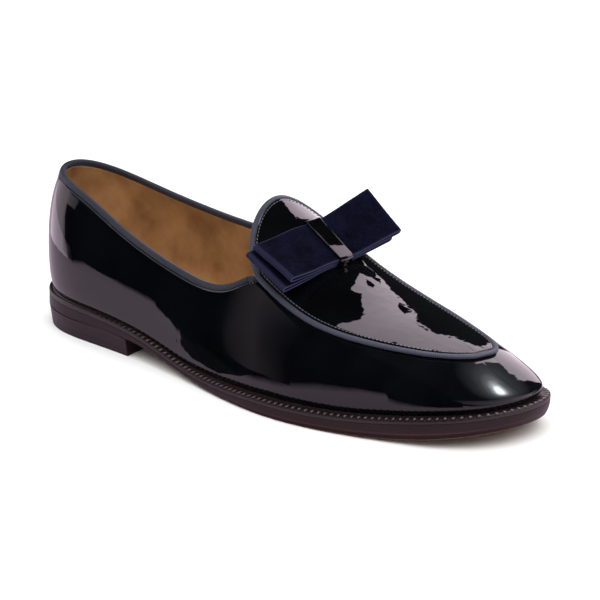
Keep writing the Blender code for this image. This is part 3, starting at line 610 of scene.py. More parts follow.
def ring(height, offset):
    """A loop around the outline, moved out by offset, at height(x)."""
    plan = ROUND[:, :2] + ROUND[:, 2:4] * np.broadcast_to(offset, len(ROUND))[:, None]
    return np.column_stack([plan, height(plan[:, 0])])


def shoe_centre():
    """Plan centre of the whole shoe, which is widest and longest at the welt."""
    edge = ring(LAST.feather, ROUND_REACH)
    return (edge[:, :2].min(0) + edge[:, :2].max(0)) / 2


CENTRE = np.array([*shoe_centre(), 0.0])


def to_frame(points):
    """Places in the frame, in metres."""
    return (np.asarray(points, float) - CENTRE) * MM


# Meshes

def grid_faces(rows, columns, closed_rows=False, closed_columns=False):
    """Quads of a grid of points that is stored row by row."""
    i = np.arange(rows if closed_rows else rows - 1)
    j = np.arange(columns if closed_columns else columns - 1)
    i, j = np.meshgrid(i, j, indexing="ij")
    below, beside = (i + 1) % rows, (j + 1) % columns
    corners = (i * columns + j, below * columns + j, below * columns + beside, i * columns + beside)
    return np.stack(corners, -1).reshape(-1, 4).tolist()


def tube_faces(rows, columns):
    """Quads of a grid that is closed across, with a face over each of its ends."""
    last = (rows - 1) * columns
    ends = [list(range(columns)), list(range(last, last + columns))]
    return grid_faces(rows, columns, closed_columns=True) + ends


def cap_faces(first, count, upward):
    """Faces across a loop from its lateral to its medial half."""
    faces = []
    for i in range(count // 2):
        loop = [first + i, first + i + 1, first + (count - i - 1) % count, first + (count - i) % count]
        face = list(dict.fromkeys(loop))
        faces.append(face if upward else face[::-1])
    return faces


def raw_mesh(name, points, faces, attributes=None):
    """A mesh in the frame from points in millimetres, with numbers kept on its points."""
    mesh = bpy.data.meshes.new(name)
    mesh.from_pydata(to_frame(points).tolist(), [], faces)
    for label, values in (attributes or {}).items():
        layer = mesh.attributes.new(label, "FLOAT", "POINT")
        layer.data.foreach_set("value", np.asarray(values, np.float32).ravel())
    return mesh


def make_mesh(name, points, faces, attributes=None, closed=True):
    """Such a mesh with doubles joined, normals outward and smooth shading."""
    mesh = raw_mesh(name, np.reshape(points, (-1, 3)), faces, attributes)
    work = bmesh.new()
    work.from_mesh(mesh)
    bmesh.ops.remove_doubles(work, verts=work.verts, dist=JOIN_DISTANCE * MM)
    bmesh.ops.dissolve_degenerate(work, edges=work.edges, dist=THIN_DISTANCE * MM)
    if closed:
        bmesh.ops.recalc_face_normals(work, faces=work.faces)
    work.to_mesh(mesh)
    work.free()
    mesh.shade_smooth()
    return mesh


def add_object(name, data):
    """A new object in the scene."""
    made = bpy.data.objects.new(name, data)
    bpy.context.scene.collection.objects.link(made)
    return made


def add_piece(name, mesh, materials, node=None):
    """Links a mesh as a piece of the shoe, in place of a solid if one is named."""
    for material in materials:
        mesh.materials.append(material)
    piece = add_object(name, mesh)
    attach(piece, "root")
    if node:
        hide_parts(node)
    return piece


def thicken(piece, thick, outward):
    """Gives an open surface its thickness; the inner face takes the second material."""
    shell = piece.modifiers.new("thickness", "SOLIDIFY")
    shell.thickness = thick * MM
    shell.offset = 1.0 if outward else -1.0
    shell.material_offset = 1
    return shell


def vertex_arrays(mesh):
    """Places of a mesh's points in millimetres on the last, and their normals."""
    count = len(mesh.vertices)
    places, normals = np.empty(count * 3), np.empty(count * 3)
    mesh.vertices.foreach_get("co", places)
    mesh.vertex_normals.foreach_get("vector", normals)
    return places.reshape(-1, 3) / MM + CENTRE, normals.reshape(-1, 3)


def lift_leather(mesh, rise=0.0):
    """Moves each point along its normal by the leather's relief and a rise."""
    places, normals = vertex_arrays(mesh)
    moved = places + normals * (rise + leather_relief(places))[:, None]
    mesh.vertices.foreach_set("co", to_frame(moved).ravel())
    mesh.update()


def wave_noise(places, length, shift):
    """Smooth noise of a wavelength over places on the last."""
    scaled = places / length + shift
    return np.array([noise.noise(Vector(place)) for place in scaled])


def segment_distance(places, start, end):
    """Distances from places to a segment."""
    start, end = np.array(start, float), np.array(end, float)
    run = end - start
    part = np.clip((places - start) @ run / (run @ run), 0, 1)
    return np.linalg.norm(places - start - part[:, None] * run, axis=1)


def leather_relief(places):
    """Height of the leather's soft waves and creases over the plain last."""
    relief = np.zeros(len(places))
    for wave in WAVES:
        relief += wave["height"] * wave_noise(places, wave["length"], wave["shift"])
    relief *= QUARTER_SHARE + (1 - QUARTER_SHARE) * smooth_step(places[:, 0], *QUARTER_RUN)
    for crease in CREASES:
        distance = segment_distance(places, crease["start"], crease["end"])
        relief -= crease["depth"] * np.exp(-(distance / crease["wide"]) ** 2)
    return relief


# Materials

def new_material(name):
    """A node material and its node tree."""
    material = bpy.data.materials.new(name)
    material.use_nodes = True
    return material, material.node_tree


def finish(material, colour, normal=None, **values):
    """Gives a material's shader its colour, normal and constants; underscores stand for spaces."""
    tree = material.node_tree
    shader = tree.nodes["Principled BSDF"]
    tree.links.new(colour, shader.inputs["Base Color"])
    if normal is not None:
        tree.links.new(normal, shader.inputs["Normal"])
    for key, value in values.items():
        shader.inputs[key.replace("_", " ").title().replace("Ior", "IOR")].default_value = value
    return material


def add_node(tree, kind, inputs=None, **settings):
    """A node with settings, whose inputs are values or the outputs of other nodes."""
    made = tree.nodes.new(kind)
    for key, value in settings.items():
        setattr(made, key, value)
    for key, value in (inputs or {}).items():
        if isinstance(value, bpy.types.NodeSocket):
            tree.links.new(value, made.inputs[key])
        else:
            made.inputs[key].default_value = value
    return made


def noise_field(tree, scale, detail=2.0, roughness=0.5):
    """Noise over places in the frame; scale counts waves in a metre."""
    where = add_node(tree, "ShaderNodeTexCoord").outputs["Object"]
    inputs = {"Vector": where, "Scale": scale, "Detail": detail, "Roughness": roughness}
    return add_node(tree, "ShaderNodeTexNoise", inputs).outputs["Fac"]


def ramp(tree, factor, stops):
    """Colours over a factor."""
    made = add_node(tree, "ShaderNodeValToRGB", {"Fac": factor})
    elements = made.color_ramp.elements
    while len(elements) < len(stops):
        elements.new(0.5)
    for element, (place, colour) in zip(elements, stops):
        element.position = place
        element.color = (*colour, 1.0)
    return made.outputs["Color"]


def bump(tree, height, depth, under=None):
    """A bump of a depth in millimetres, over another normal if given."""
    inputs = {"Height": height, "Distance": depth * MM, "Strength": 1.0}
    if under is not None:
        inputs["Normal"] = under
    return add_node(tree, "ShaderNodeBump", inputs).outputs["Normal"]


def attribute(tree, name):
    """A number kept on the mesh's points."""
    return add_node(tree, "ShaderNodeAttribute", attribute_name=name).outputs["Fac"]


def math_node(tree, operation, *values):
    """One step of arithmetic."""
    return add_node(tree, "ShaderNodeMath", dict(enumerate(values)), operation=operation).outputs["Value"]


def mix(tree, factor, first, second):
    """A colour between two others."""
    inputs = {"Factor": factor, "A": first, "B": second}
    return add_node(tree, "ShaderNodeMix", inputs, data_type="RGBA").outputs["Result"]


def patent_material(name, dark, light, wave, ripples):
    """Near-black lacquered leather: a dark coloured base under a thick clear coat."""
    material, tree = new_material(name)
    colour = ramp(tree, noise_field(tree, scale=45.0, detail=3.0), [(0.35, dark), (0.7, light)])
    slow = bump(tree, noise_field(tree, scale=85.0, detail=1.0), wave)
    ripple = bump(tree, noise_field(tree, scale=230.0, detail=1.0), ripples, slow)
    peel = bump(tree, noise_field(tree, scale=900.0, detail=2.0), depth=0.003, under=ripple)
    grain = bump(tree, noise_field(tree, scale=1500.0, detail=3.0), depth=0.04, under=ripple)
    tree.links.new(peel, tree.nodes["Principled BSDF"].inputs["Coat Normal"])
    return finish(material, colour, grain, roughness=0.36, specular_ior_level=0.0, coat_weight=1.0,
                  coat_roughness=0.035, coat_ior=1.55)


def lining_material(name, dark, light):
    """Smooth calf lining with a fine grain."""
    material, tree = new_material(name)
    colour = ramp(tree, noise_field(tree, scale=60.0, detail=5.0), [(0.3, dark), (0.72, light)])
    pores = bump(tree, noise_field(tree, scale=2600.0, detail=3.0), depth=0.06)
    return finish(material, colour, pores, roughness=0.52)


def grosgrain_material(name, dark, light):
    """Ribbed ribbon: ribs across the strip, kept as a number along it; the ribs' crests are painted paler as
    a painted highlight and their grooves darker as painted shade.
    """
    material, tree = new_material(name)
    turn = math_node(tree, "MULTIPLY", attribute(tree, "along"), 2 * math.pi / RIB_PITCH)
    rib = math_node(tree, "MULTIPLY_ADD", math_node(tree, "SINE", turn), 0.5, 0.5)
    # Painted highlight on the rib crests and painted shade in the grooves
    colour = ramp(tree, rib, [(0.1, dark), (0.9, light)])
    ribs = bump(tree, rib, depth=0.08)
    fibre = bump(tree, noise_field(tree, scale=6000.0, detail=2.0), depth=0.04, under=ribs)
    return finish(material, colour, fibre, roughness=0.45, sheen_weight=0.1, sheen_roughness=0.4)


def velvet_material(name):
    """Silk velvet: dark pile, patchy where it leans, with sheen, and a painted sheen that makes its cut and
    folded edges paler.
    """
    material, tree = new_material(name)
    patches = noise_field(tree, scale=110.0, detail=4.0, roughness=0.6)
    speckle = math_node(tree, "MULTIPLY", patches, noise_field(tree, scale=800.0, detail=3.0, roughness=0.7))
    base = ramp(tree, speckle, [(0.14, VELVET_DARK), (0.36, VELVET_LIGHT)])
    # Painted sheen: paler colour along the edges, from the edge attribute
    colour = mix(tree, attribute(tree, "edge"), base, (*VELVET_EDGE_SHEEN, 1.0))
    pile = bump(tree, noise_field(tree, scale=3200.0, detail=3.0), depth=0.18)
    lean = bump(tree, patches, depth=0.6, under=pile)
    return finish(material, colour, lean, roughness=0.95, specular_ior_level=0.03, sheen_weight=0.025,
                  sheen_roughness=0.45, sheen_tint=VELVET_SHEEN)


def welt_material(name):
    """Dyed welt leather, with a painted highlight on the tops of the wheeled ridges and painted shade on
    their flanks.
    """
    material, tree = new_material(name)
    colour = ramp(tree, attribute(tree, "ridge_highlight"), WELT_HIGHLIGHT_AND_SHADE)
    fine = bump(tree, noise_field(tree, scale=2200.0, detail=3.0), depth=0.05)
    return finish(material, colour, fine, roughness=0.42)


def sole_material(name):
    """Sole leather: dark polished edge with a reddish lower line, brown grained underside."""
    material, tree = new_material(name)
    under = ramp(tree, noise_field(tree, scale=420.0, detail=6.0, roughness=0.62), SOLE_UNDERSIDE)
    edge = ramp(tree, attribute(tree, "level"), SOLE_EDGE)
    colour = mix(tree, attribute(tree, "under"), edge, under)
    fine = bump(tree, noise_field(tree, scale=1800.0, detail=4.0), depth=0.06)
    return finish(material, colour, fine, roughness=0.4, specular_ior_level=0.2)


def heel_material(name):
    """Stacked heel leather, polished nearly black, with faint layers."""
    material, tree = new_material(name)
    inputs = {"Vector": add_node(tree, "ShaderNodeTexCoord").outputs["Object"], "Scale": 95.0,
              "Distortion": 0.6, "Detail": 2.0}
    layers = add_node(tree, "ShaderNodeTexWave", inputs, bands_direction="Z").outputs["Fac"]
    fine = bump(tree, noise_field(tree, scale=1500.0, detail=4.0), depth=0.05)
    stacked = bump(tree, layers, depth=0.03, under=fine)
    colour = ramp(tree, layers, HEEL_COLOURS)
    return finish(material, colour, stacked, roughness=0.36, specular_ior_level=0.25)


def thread_material(name, dark, light):
    """Twisted thread."""
    material, tree = new_material(name)
    colour = ramp(tree, noise_field(tree, scale=1500.0, detail=2.0), [(0.3, dark), (0.7, light)])
    twist = bump(tree, noise_field(tree, scale=5000.0, detail=2.0), depth=0.04)
    return finish(material, colour, twist, roughness=0.5)


def floor_material(name, pale):
    """Pale matte floor."""
    material, tree = new_material(name)
    shade = tuple(FLOOR_SHADE * share for share in pale)
    colour = ramp(tree, noise_field(tree, scale=3.0, detail=2.0), [(0.3, pale), (0.7, shade)])
    return finish(material, colour, roughness=1.0, specular_ior_level=0.0)


# Pieces

def build_upper(materials):
    """Upper: lacquered vamp and quarters, lined inside, the wall thinner at the throat's rim."""
    grid = np.concatenate([LAST.walls(x, side) for side, x in both_sides(LAST.stations())])
    count, rows = grid.shape[:2]
    mesh = make_mesh("upper", grid, grid_faces(count, rows, closed_rows=True), closed=False)
    lift_leather(mesh)
    piece = add_piece("upper_shell", mesh, materials, "upper")
    shell = thicken(piece, WALL, False)
    x = np.linspace(THROAT_THIN, THROAT_END, THROAT_SAMPLES)
    rim = np.concatenate([LAST.skin(x, side, LAST.rim_part(x, side)) for side in SIDES])
    where, _ = vertex_arrays(mesh)
    away = np.array([np.linalg.norm(rim - place, axis=1).min() for place in where])
    thin = 1 - smooth_step(away, *THROAT_SOFT)
    group = piece.vertex_groups.new(name="throat")
    for index in np.flatnonzero(thin > LEAST_THIN):
        group.add([int(index)], float(thin[index]), "REPLACE")
    shell.vertex_group = "throat"
    shell.invert_vertex_group = True
    shell.thickness_vertex_group = THROAT_SHARE


def build_apron(materials):
    """Apron and tongue: one lacquered piece, lined under the tongue."""
    places = LAST.apron_stations()
    shares = np.linspace(1, 0, APRON_COLUMNS + 1)
    lateral, medial = (LAST.skin(places[:, None], side, shares * LAST.apron_part(places, side)[:, None])
                       for side in SIDES)
    grid = np.concatenate([lateral, medial[:, -2::-1]], 1)
    rows, columns = grid.shape[:2]
    mesh = make_mesh("apron", grid, grid_faces(rows, columns), closed=False)
    lift_leather(mesh, CLEARANCE)
    piece = add_piece("apron_tongue_shell", mesh, materials, "apron_tongue")
    thicken(piece, APRON_THICK, True)


def bead_section():
    """Rounded strip section as shares of its half width and half height."""
    turn = (np.arange(BEAD_SIDES) + 0.5) * 2 * math.pi / BEAD_SIDES
    return [np.sign(way) * abs(way) ** BEAD_SQUARENESS for way in (np.cos(turn), np.sin(turn))]


def build_bead(name, node, frames, size, closed, material):
    """A ribbed binding swept along frames of centre, outward and up; its slot has its name."""
    centres, outwards, ups = frames
    across, rise = bead_section()
    count = len(centres)
    along = np.linspace(0, path_length(centres, closed), count, endpoint=not closed)
    rib = 1 + RIB_DEPTH * np.sin(2 * math.pi * along / RIB_PITCH)
    wide, high = across * size[0] / 2, rise * size[1] / 2
    sides = outwards[:, None] * wide[None, :, None] + ups[:, None] * high[None, :, None]
    points = centres[:, None] + sides * rib[:, None, None]
    faces = grid_faces(count, BEAD_SIDES, True, True) if closed else tube_faces(count, BEAD_SIDES)
    mesh = make_mesh(name, points, faces, {"along": np.repeat(along, BEAD_SIDES)})
    add_piece(name, mesh, [material], node)


def rib_count(path, closed):
    """Number of points along a path that shows each rib."""
    return int(path_length(path, closed) / RIB_PITCH) * RIB_SAMPLES


def frames_of(path, along):
    """Places, outward and up directions of a path that holds places and rough ups."""
    outwards = unit(np.cross(along, unit(path[:, 3:])))
    return path[:, :3], outwards, unit(np.cross(outwards, along))


def apron_edge():
    """Even frames around the apron's edge: place, outward and up."""
    runs = []
    for side, x in both_sides(LAST.apron_stations()):
        part = LAST.apron_part(x, side)
        runs.append(np.column_stack([LAST.skin(x, side, part), LAST.skin_normal(x, side, part)]))
    path = np.concatenate(runs)
    path = evenly(path, rib_count(path, True), closed=True)
    return frames_of(path, unit(np.roll(path, -2, 0) - np.roll(path, 2, 0))[:, :3])


def build_apron_binding(material):
    """Ribbon bound around the edge of apron and tongue."""
    edge, outwards, ups = apron_edge()
    beside = APRON_BEAD_WIDE / 2 + APRON_BEAD_GAP
    above = APRON_BEAD_HIGH / 2 + CLEARANCE + leather_relief(edge)[:, None]
    frames = (edge + outwards * beside + ups * above, outwards, ups)
    build_bead("apron_ribbon", "apron_binding", frames, (APRON_BEAD_WIDE, APRON_BEAD_HIGH), True, material)


def collar_frames():
    """Even frames along the topline from throat to throat: top of the wall, outward and up."""
    stops = LAST.stations()
    reached = {side: stops[stops <= COLLAR_FRONT[side] + COLLAR_TUCK] for side in SIDES}
    runs = []
    for side, x in (("medial", reached["medial"][:0:-1]), ("lateral", reached["lateral"])):
        rim = LAST.rim_part(x, side)
        top = LAST.skin(x, side, rim)
        runs.append(np.column_stack([top, unit(top - LAST.skin(x, side, rim + COLLAR_LEAN_PART))]))
    path = np.concatenate(runs)
    path = evenly(path, rib_count(path, False))
    return frames_of(path, unit(np.gradient(path[:, :3], axis=0)))


def build_collar_binding(material):
    """Ribbon bound over the topline."""
    tops, outwards, ups = collar_frames()
    centres = tops - outwards * WALL / 2 + ups * (COLLAR_BEAD_HIGH / 2 + CLEARANCE - COLLAR_WRAP / 2)
    size = (COLLAR_BEAD_WIDE, COLLAR_BEAD_HIGH + COLLAR_WRAP)
    build_bead("collar_ribbon", "collar_binding", (centres, outwards, ups), size, False, material)


def build_stitches(name, path, ups, size, material):
    """Short threads laid end to end along a path, each dipping into the leather at its ends."""
    pitch, length = size
    count = int(path_length(path) / pitch)
    fine = evenly(np.column_stack([path, ups]), count * STITCH_FINE)
    reach = max(2, int(round(STITCH_FINE * length / pitch)))
    turn = np.arange(STITCH_SIDES) * 2 * math.pi / STITCH_SIDES
    share = np.linspace(0, 1, STITCH_RINGS)
    dip = 1 - (2 * share - 1) ** 4
    rise = STITCH_RADIUS * (STITCH_LIFT * dip - STITCH_SINK)
    thick = STITCH_RADIUS * (STITCH_END + (1 - STITCH_END) * dip)
    stitch = tube_faces(STITCH_RINGS, STITCH_SIDES)
    points, faces = [], []
    for k in range(count):
        first, last = fine[k * STITCH_FINE], fine[min(k * STITCH_FINE + reach, len(fine) - 1)]
        up = unit(first[3:] + last[3:])
        run = last[:3] - first[:3]
        side = unit(np.cross(run, up))
        middle = first[:3] + share[:, None] * run + up * rise[:, None]
        loop = side * np.cos(turn)[:, None] + up * np.sin(turn)[:, None]
        base = k * STITCH_RINGS * STITCH_SIDES
        points.append(middle[:, None] + loop[None] * thick[:, None, None])
        faces += [[base + i for i in face] for face in stitch]
    add_piece(name, make_mesh(name, np.concatenate(points), faces), [material])


def build_apron_stitches(material):
    """Row of stitches on the apron just inside its binding."""
    edge, outwards, ups = apron_edge()
    above = CLEARANCE + APRON_THICK + leather_relief(edge)[:, None]
    path = edge - outwards * APRON_STITCH_IN + ups * above
    size = (APRON_STITCH_PITCH, APRON_STITCH_LENGTH)
    build_stitches("apron_stitches", path, ups, size, material)


def build_collar_stitches(material):
    """Row of stitches along the lower edge of the collar's binding, outside."""
    tops, outwards, ups = collar_frames()
    path = tops - ups * COLLAR_STITCH_DOWN
    size = (COLLAR_STITCH_PITCH, COLLAR_STITCH_LENGTH)
    build_stitches("collar_stitches", path, outwards, size, material)


def build_welt(material):
    """Welt: a strip around the feather with rounded edges and wheeled ridges on its top."""
    outline = np.column_stack([ROUND[:, :2], np.zeros(len(ROUND)), ROUND[:, 2:]])
    length = path_length(outline, True)
    count = int(length / WELT_SPACING)
    even = evenly(outline, count, closed=True)
    foot, outward, reach = even[:, :2], unit(even[:, 3:5]), even[:, 5]
    wave = 0.5 + 0.5 * np.cos(2 * math.pi * np.round(length / WHEEL_PITCH) * np.arange(count) / count)
    ridge = wave ** WHEEL_SHARPNESS * smooth_step(foot[:, 0], *TICK_FADE)
    loops, ridge_highlights = [], []
    for row in WELT_SECTION:
        out = row["share"] * reach + row["in_out"]
        plan = foot + outward * out[:, None]
        rise = row["height"] + WHEEL_HEIGHT * row["ridge"] * (ridge - 0.5)
        loops.append(np.column_stack([plan, LAST.feather(plan[:, 0]) + rise]))
        # The ridges' mark also sets the welt's painted highlight and painted shade
        ridge_highlights.append(row["ridge"] * ridge)
    faces = grid_faces(count, len(WELT_SECTION), True, True)
    mesh = make_mesh("welt_strip", np.stack(loops, 1), faces, {"ridge_highlight": np.stack(ridge_highlights, 1)})
    add_piece("welt_strip", mesh, [material], "welt")


def stack_faces(rings, count):
    """Faces of loops stacked from the underside to the top."""
    top = cap_faces((rings - 1) * count, count, True)
    return cap_faces(0, count, False) + grid_faces(rings, count, False, True) + top


def build_outsole(material):
    """Outsole: flat under the ball, bevelled and arched at the waist, its edge gently rounded."""
    reach = ROUND_REACH - EDGE_STEP
    rounding = TOE_ROUND * smooth_step(ROUND_PLACE, *TOE_ROUND_RUN)
    rings = []
    for row in SOLE_UNDER:
        offset = reach - row["inset"] - row["inward"] * LAST.bevel(ROUND_PLACE) - rounding
        rings.append(ring(lambda x: LAST.edge(x) + row["down"] * (LAST.bottom(x) - LAST.edge(x)), offset))
    for row in SOLE_SIDE:
        offset = reach - row["inset"] - rounding * (1 - row["share"]) ** 2
        rings.append(ring(
            lambda x: LAST.edge(x) + row["share"] * (LAST.feather(x) - WELT_THICK - LAST.edge(x)), offset))
    count = len(ROUND)
    points = np.concatenate(rings)
    front = smooth_step(points[:, 0], *HEEL_FADE)
    level = np.repeat([0] * len(SOLE_UNDER) + [row["share"] for row in SOLE_SIDE], count)
    under = np.repeat([row["under"] for row in SOLE_UNDER] + [0] * len(SOLE_SIDE), count)
    values = {"level": np.maximum(level, HEEL_LEVEL * (1 - front)), "under": under * front}
    mesh = make_mesh("sole_plate", points, stack_faces(len(rings), count), values)
    mesh.set_sharp_from_angle(angle=math.radians(SOLE_SHARP))
    add_piece("sole_plate", mesh, [material], "outsole")


def build_insole(material):
    """Insole board with its leather sock, slightly dished."""
    rings = [ring(lambda x: LAST.sole_top(x) + CLEARANCE + row["share"] * INSOLE_THICK,
                  -INSOLE_INSET - row["inset"]) for row in INSOLE_RINGS]
    mesh = make_mesh("insole_sock", np.concatenate(rings), stack_faces(len(rings), len(ROUND)))
    mesh.set_sharp_from_angle(angle=math.radians(INSOLE_SHARP))
    add_piece("insole_sock", mesh, [material], "insole")


def build_heel(material):
    """Heel block: tapered to its flat underside, with a hollowed breast and softened edges."""
    stops = LAST.stations()
    places = np.append(stops[stops < HEEL_BREAST - HEEL_LAST_STEP], HEEL_BREAST)
    across = np.linspace(0, 1, HEEL_COLUMNS + 1)
    hollow = HEEL_HOLLOW * (places / HEEL_BREAST) ** HEEL_HOLLOW_POWER
    levels = []
    for taper, on_floor in ((HEEL_TAPER, True), (0.0, False)):
        ends = []
        for side in SIDES:
            foot, outward = LAST.foot(places, side)
            ends.append(foot + outward * (LAST.reach[side](places) - SOLE_STEP - taper)[:, None])
        row = ends[0][:, None] + across[None, :, None] * (ends[1] - ends[0])[:, None]
        row[..., 0] -= hollow[:, None] * (1 - (2 * across - 1) ** 2)
        height = 0 * row[..., 0] if on_floor else LAST.bottom(row[..., 0]) - HEEL_GAP
        levels.append(np.concatenate([row, height[..., None]], -1))
    rows, columns = len(places), HEEL_COLUMNS + 1
    above = rows * columns
    faces = [face[::-1] for face in grid_faces(rows, columns)]
    faces += [[above + i for i in face] for face in grid_faces(rows, columns)]
    edge = [i * columns for i in range(rows)]
    edge += [(rows - 1) * columns + j for j in range(1, columns)]
    edge += [i * columns + columns - 1 for i in range(rows - 2, -1, -1)]
    faces += [[a, b, above + b, above + a] for a, b in zip(edge[:-1], edge[1:])]
    mesh = make_mesh("heel_block", np.stack(levels), faces)
    piece = add_piece("heel_block", mesh, [material], "heel")
    soft = piece.modifiers.new("edges", "BEVEL")
    soft.width = HEEL_BEVEL * MM
    soft.segments = HEEL_BEVEL_STEPS
    soft.limit_method = "ANGLE"
    soft.angle_limit = math.radians(HEEL_SHARP)
    soft.harden_normals = True


# Bow

BOW_RISE = spline(BOW_LINE, "rise", "s")


def bow_points(s, v, w):
    """Places on the bow: s along it to the medial side, v down the vamp, w off the vamp."""
    slope = np.radians(BOW_SLOPE + BOW_TWIST * s)
    x, y, z = BOW_CENTRE
    return np.stack([x + v * np.cos(slope) + w * np.sin(slope), y + s,
                     z + BOW_RISE(s) - v * np.sin(slope) + w * np.cos(slope)], -1)


def loop_half(s):
    """Half the height of a ribbon loop: pinched at the middle, open toward its ends."""
    return RIBBON_PINCH + RIBBON_GROWTH * abs(s)


def loop_path(tier, inset):
    """One tier's closed ribbon path as (s, w), inset by a thickness."""
    middle = 2 * RIBBON_PINCH + CLEARANCE / 2
    runs = np.linspace(tier["lateral_end"], tier["medial_end"], RIBBON_STEPS)

    def level(s):
        return middle + tier["level"] * (loop_half(s) + CLEARANCE / 2)

    top = [(s, level(s) + loop_half(s) - inset) for s in runs]
    under = [(s, level(s) - loop_half(s) + inset) for s in runs[::-1]]
    folds = []
    for s, start in ((runs[-1], 90), (runs[0], 270)):
        radius = loop_half(s) - inset
        angles = [math.radians(start - 180 * (k + 1) / (FOLD_STEPS + 1)) for k in range(FOLD_STEPS)]
        folds.append([(s + radius * math.cos(a), level(s) + radius * math.sin(a)) for a in angles])
    return np.array(top + folds[0] + under + folds[1])


def ribbon_section(columns):
    """Around a flat strip with round edges: share of the half width and of the half thickness."""
    inner = 1 - RIBBON_THICK / 2 / RIBBON_HALF
    turn = np.radians(90 - 180 * (np.arange(EDGE_STEPS) + 1) / (EDGE_STEPS + 1))
    front = np.column_stack([inner + (1 - inner) * np.cos(turn), np.sin(turn)])
    top = np.column_stack([np.linspace(-inner, inner, columns), np.ones(columns)])
    return np.concatenate([top, front, -top, -front])


def offset_path(path, tangent, thick):
    """Two grids of places beside a flat path, moved off it by each thickness."""
    normal = np.column_stack([-tangent[:, 1], tangent[:, 0]])
    return [path[:, k][:, None] + normal[:, k][:, None] * thick for k in (0, 1)]


def build_tier(tier, material):
    """One tier of the bow: a closed loop of velvet ribbon, soft and slightly gathered at the band."""
    path = loop_path(tier, RIBBON_THICK / 2)
    section = ribbon_section(RIBBON_COLUMNS)
    wide, thick = section[:, 0], section[:, 1] * RIBBON_THICK / 2
    s, w = offset_path(path, unit(np.roll(path, -1, 0) - np.roll(path, 1, 0)), thick)
    from_middle = abs(path[:, 0])
    v = (RIBBON_HALF + RIBBON_FLARE * from_middle)[:, None] * wide
    gather = np.exp(-np.maximum(abs(s) - BAND_HALF, 0) / GATHER_RUN) * (abs(s) > BAND_HALF)
    w = w + GATHER_DEPTH * gather * np.cos(GATHER_TURN * wide + GATHER_SHIFT)
    lift = smooth_step(-s, *LIFT_RUN) * smooth_step(wide, *LIFT_ACROSS)
    w = w + TIER_LIFT * max(tier["level"], 0) * lift
    points = bow_points(s, v, w).reshape(-1, 3)
    soft = LONG_HEIGHT * wave_noise(points, LONG_WAVE, LONG_SHIFT + tier["level"])
    soft += SHORT_HEIGHT * wave_noise(points, SHORT_WAVE, SHORT_SHIFT)
    fade = smooth_step(abs(s), BAND_HALF, BAND_HALF + WAVE_FADE).ravel()
    points = points + np.array(WAVE_WAY) * (soft * fade)[:, None]
    # Painted sheen: the ribbon's cut edges and the turned ends of each loop are painted paler through the
    # edge attribute
    turned = smooth_step(from_middle, *(from_middle.max() - np.array(FOLD_RUN)))
    edge = np.maximum(smooth_step(abs(wide), *EDGE_SHEEN_RUN)[None, :], FOLD_SHEEN_SHARE * turned[:, None])
    faces = grid_faces(len(path), len(section), True, True)
    mesh = make_mesh(tier["name"] + "_loop", points, faces, {"edge": edge})
    piece = add_piece(tier["name"] + "_loop", mesh, [material], tier["name"])


def band_path():
    """The band's middle line over both tiers as (v, w), from the vamp behind to the vamp in front."""
    half = RIBBON_HALF + BAND_EASE + CLEARANCE + BAND_THICK / 2
    top = 4 * RIBBON_PINCH + 2 * CLEARANCE + BAND_THICK / 2
    turn = np.radians(np.linspace(0, 90, CORNER_POINTS))
    v, w = half - BAND_CORNER * (1 - np.sin(turn)), top - BAND_CORNER * (1 - np.cos(turn))
    back, front = np.column_stack([-v, w])[::-1], np.column_stack([v, w])
    path = np.concatenate([[(-half, BAND_FOOT)], back, front, [(half, BAND_FOOT)]])
    return evenly(np.column_stack([path, np.zeros(len(path))]), BAND_POINTS)[:, :2]


def build_band(material):
    """Band over the middle of the bow: a lacquered strip with turned edges."""
    path = band_path()
    section = ribbon_section(BAND_COLUMNS)
    crown = BAND_CROWN * (1 - section[:, 0] ** 2) * (section[:, 1] > 0)
    thick = section[:, 1] * BAND_THICK / 2 + crown
    v, w = offset_path(path, unit(np.gradient(path, axis=0)), thick)
    s = np.broadcast_to(section[:, 0] * BAND_HALF, v.shape)
    mesh = make_mesh("bow_band_strip", bow_points(s, v, w), tube_faces(len(path), len(section)))
    add_piece("bow_band_strip", mesh, [material], "bow_band")


# Stage

def stage_plane(name, points, faces, material, attributes=None):
    """A flat part of the stage."""
    mesh = raw_mesh(name, points, faces, attributes)
    mesh.materials.append(material)
    plane = add_object(name, mesh)
    return plane


def mirrored_plane(*described):
    """A flat part of the stage that shows in reflections alone."""
    plane = stage_plane(*described)
    plane.visible_camera = False
    plane.visible_diffuse = False
    plane.visible_shadow = False


def whole(points):
    """One face through all points."""
    return [tuple(range(len(points)))]


def build_floor():
    """The floor, and the part of it that the lacquer mirrors."""
    turn = np.arange(FLOOR_SIDES) * 2 * math.pi / FLOOR_SIDES
    edge = CENTRE + FLOOR_RADIUS * np.column_stack([np.cos(turn), np.sin(turn), 0 * turn])
    floor = stage_plane("floor", edge, whole(edge), floor_material("pale_floor", PALE))
    floor.visible_glossy = False
    near = [(x, y, MIRROR_LIFT) for x, y in MIRROR_FLOOR]
    # Floor copy seen only in reflections, darker and more lilac than the floor: a painted reflection colour
    mirrored_plane("floor_near", near, whole(near), floor_material("mirrored_floor", PALE_LILAC))


def glow_material(name, radiance):
    """Plain light, faded by the glow kept on the mesh's points."""
    material, tree = new_material(name)
    tree.nodes.remove(tree.nodes["Principled BSDF"])
    strength = math_node(tree, "MULTIPLY", attribute(tree, "glow"), radiance)
    light = add_node(tree, "ShaderNodeEmission", {"Color": (*LILAC, 1.0), "Strength": strength})
    tree.links.new(light.outputs["Emission"], tree.nodes["Material Output"].inputs["Surface"])
    material.cycles.emission_sampling = "NONE"
    return material


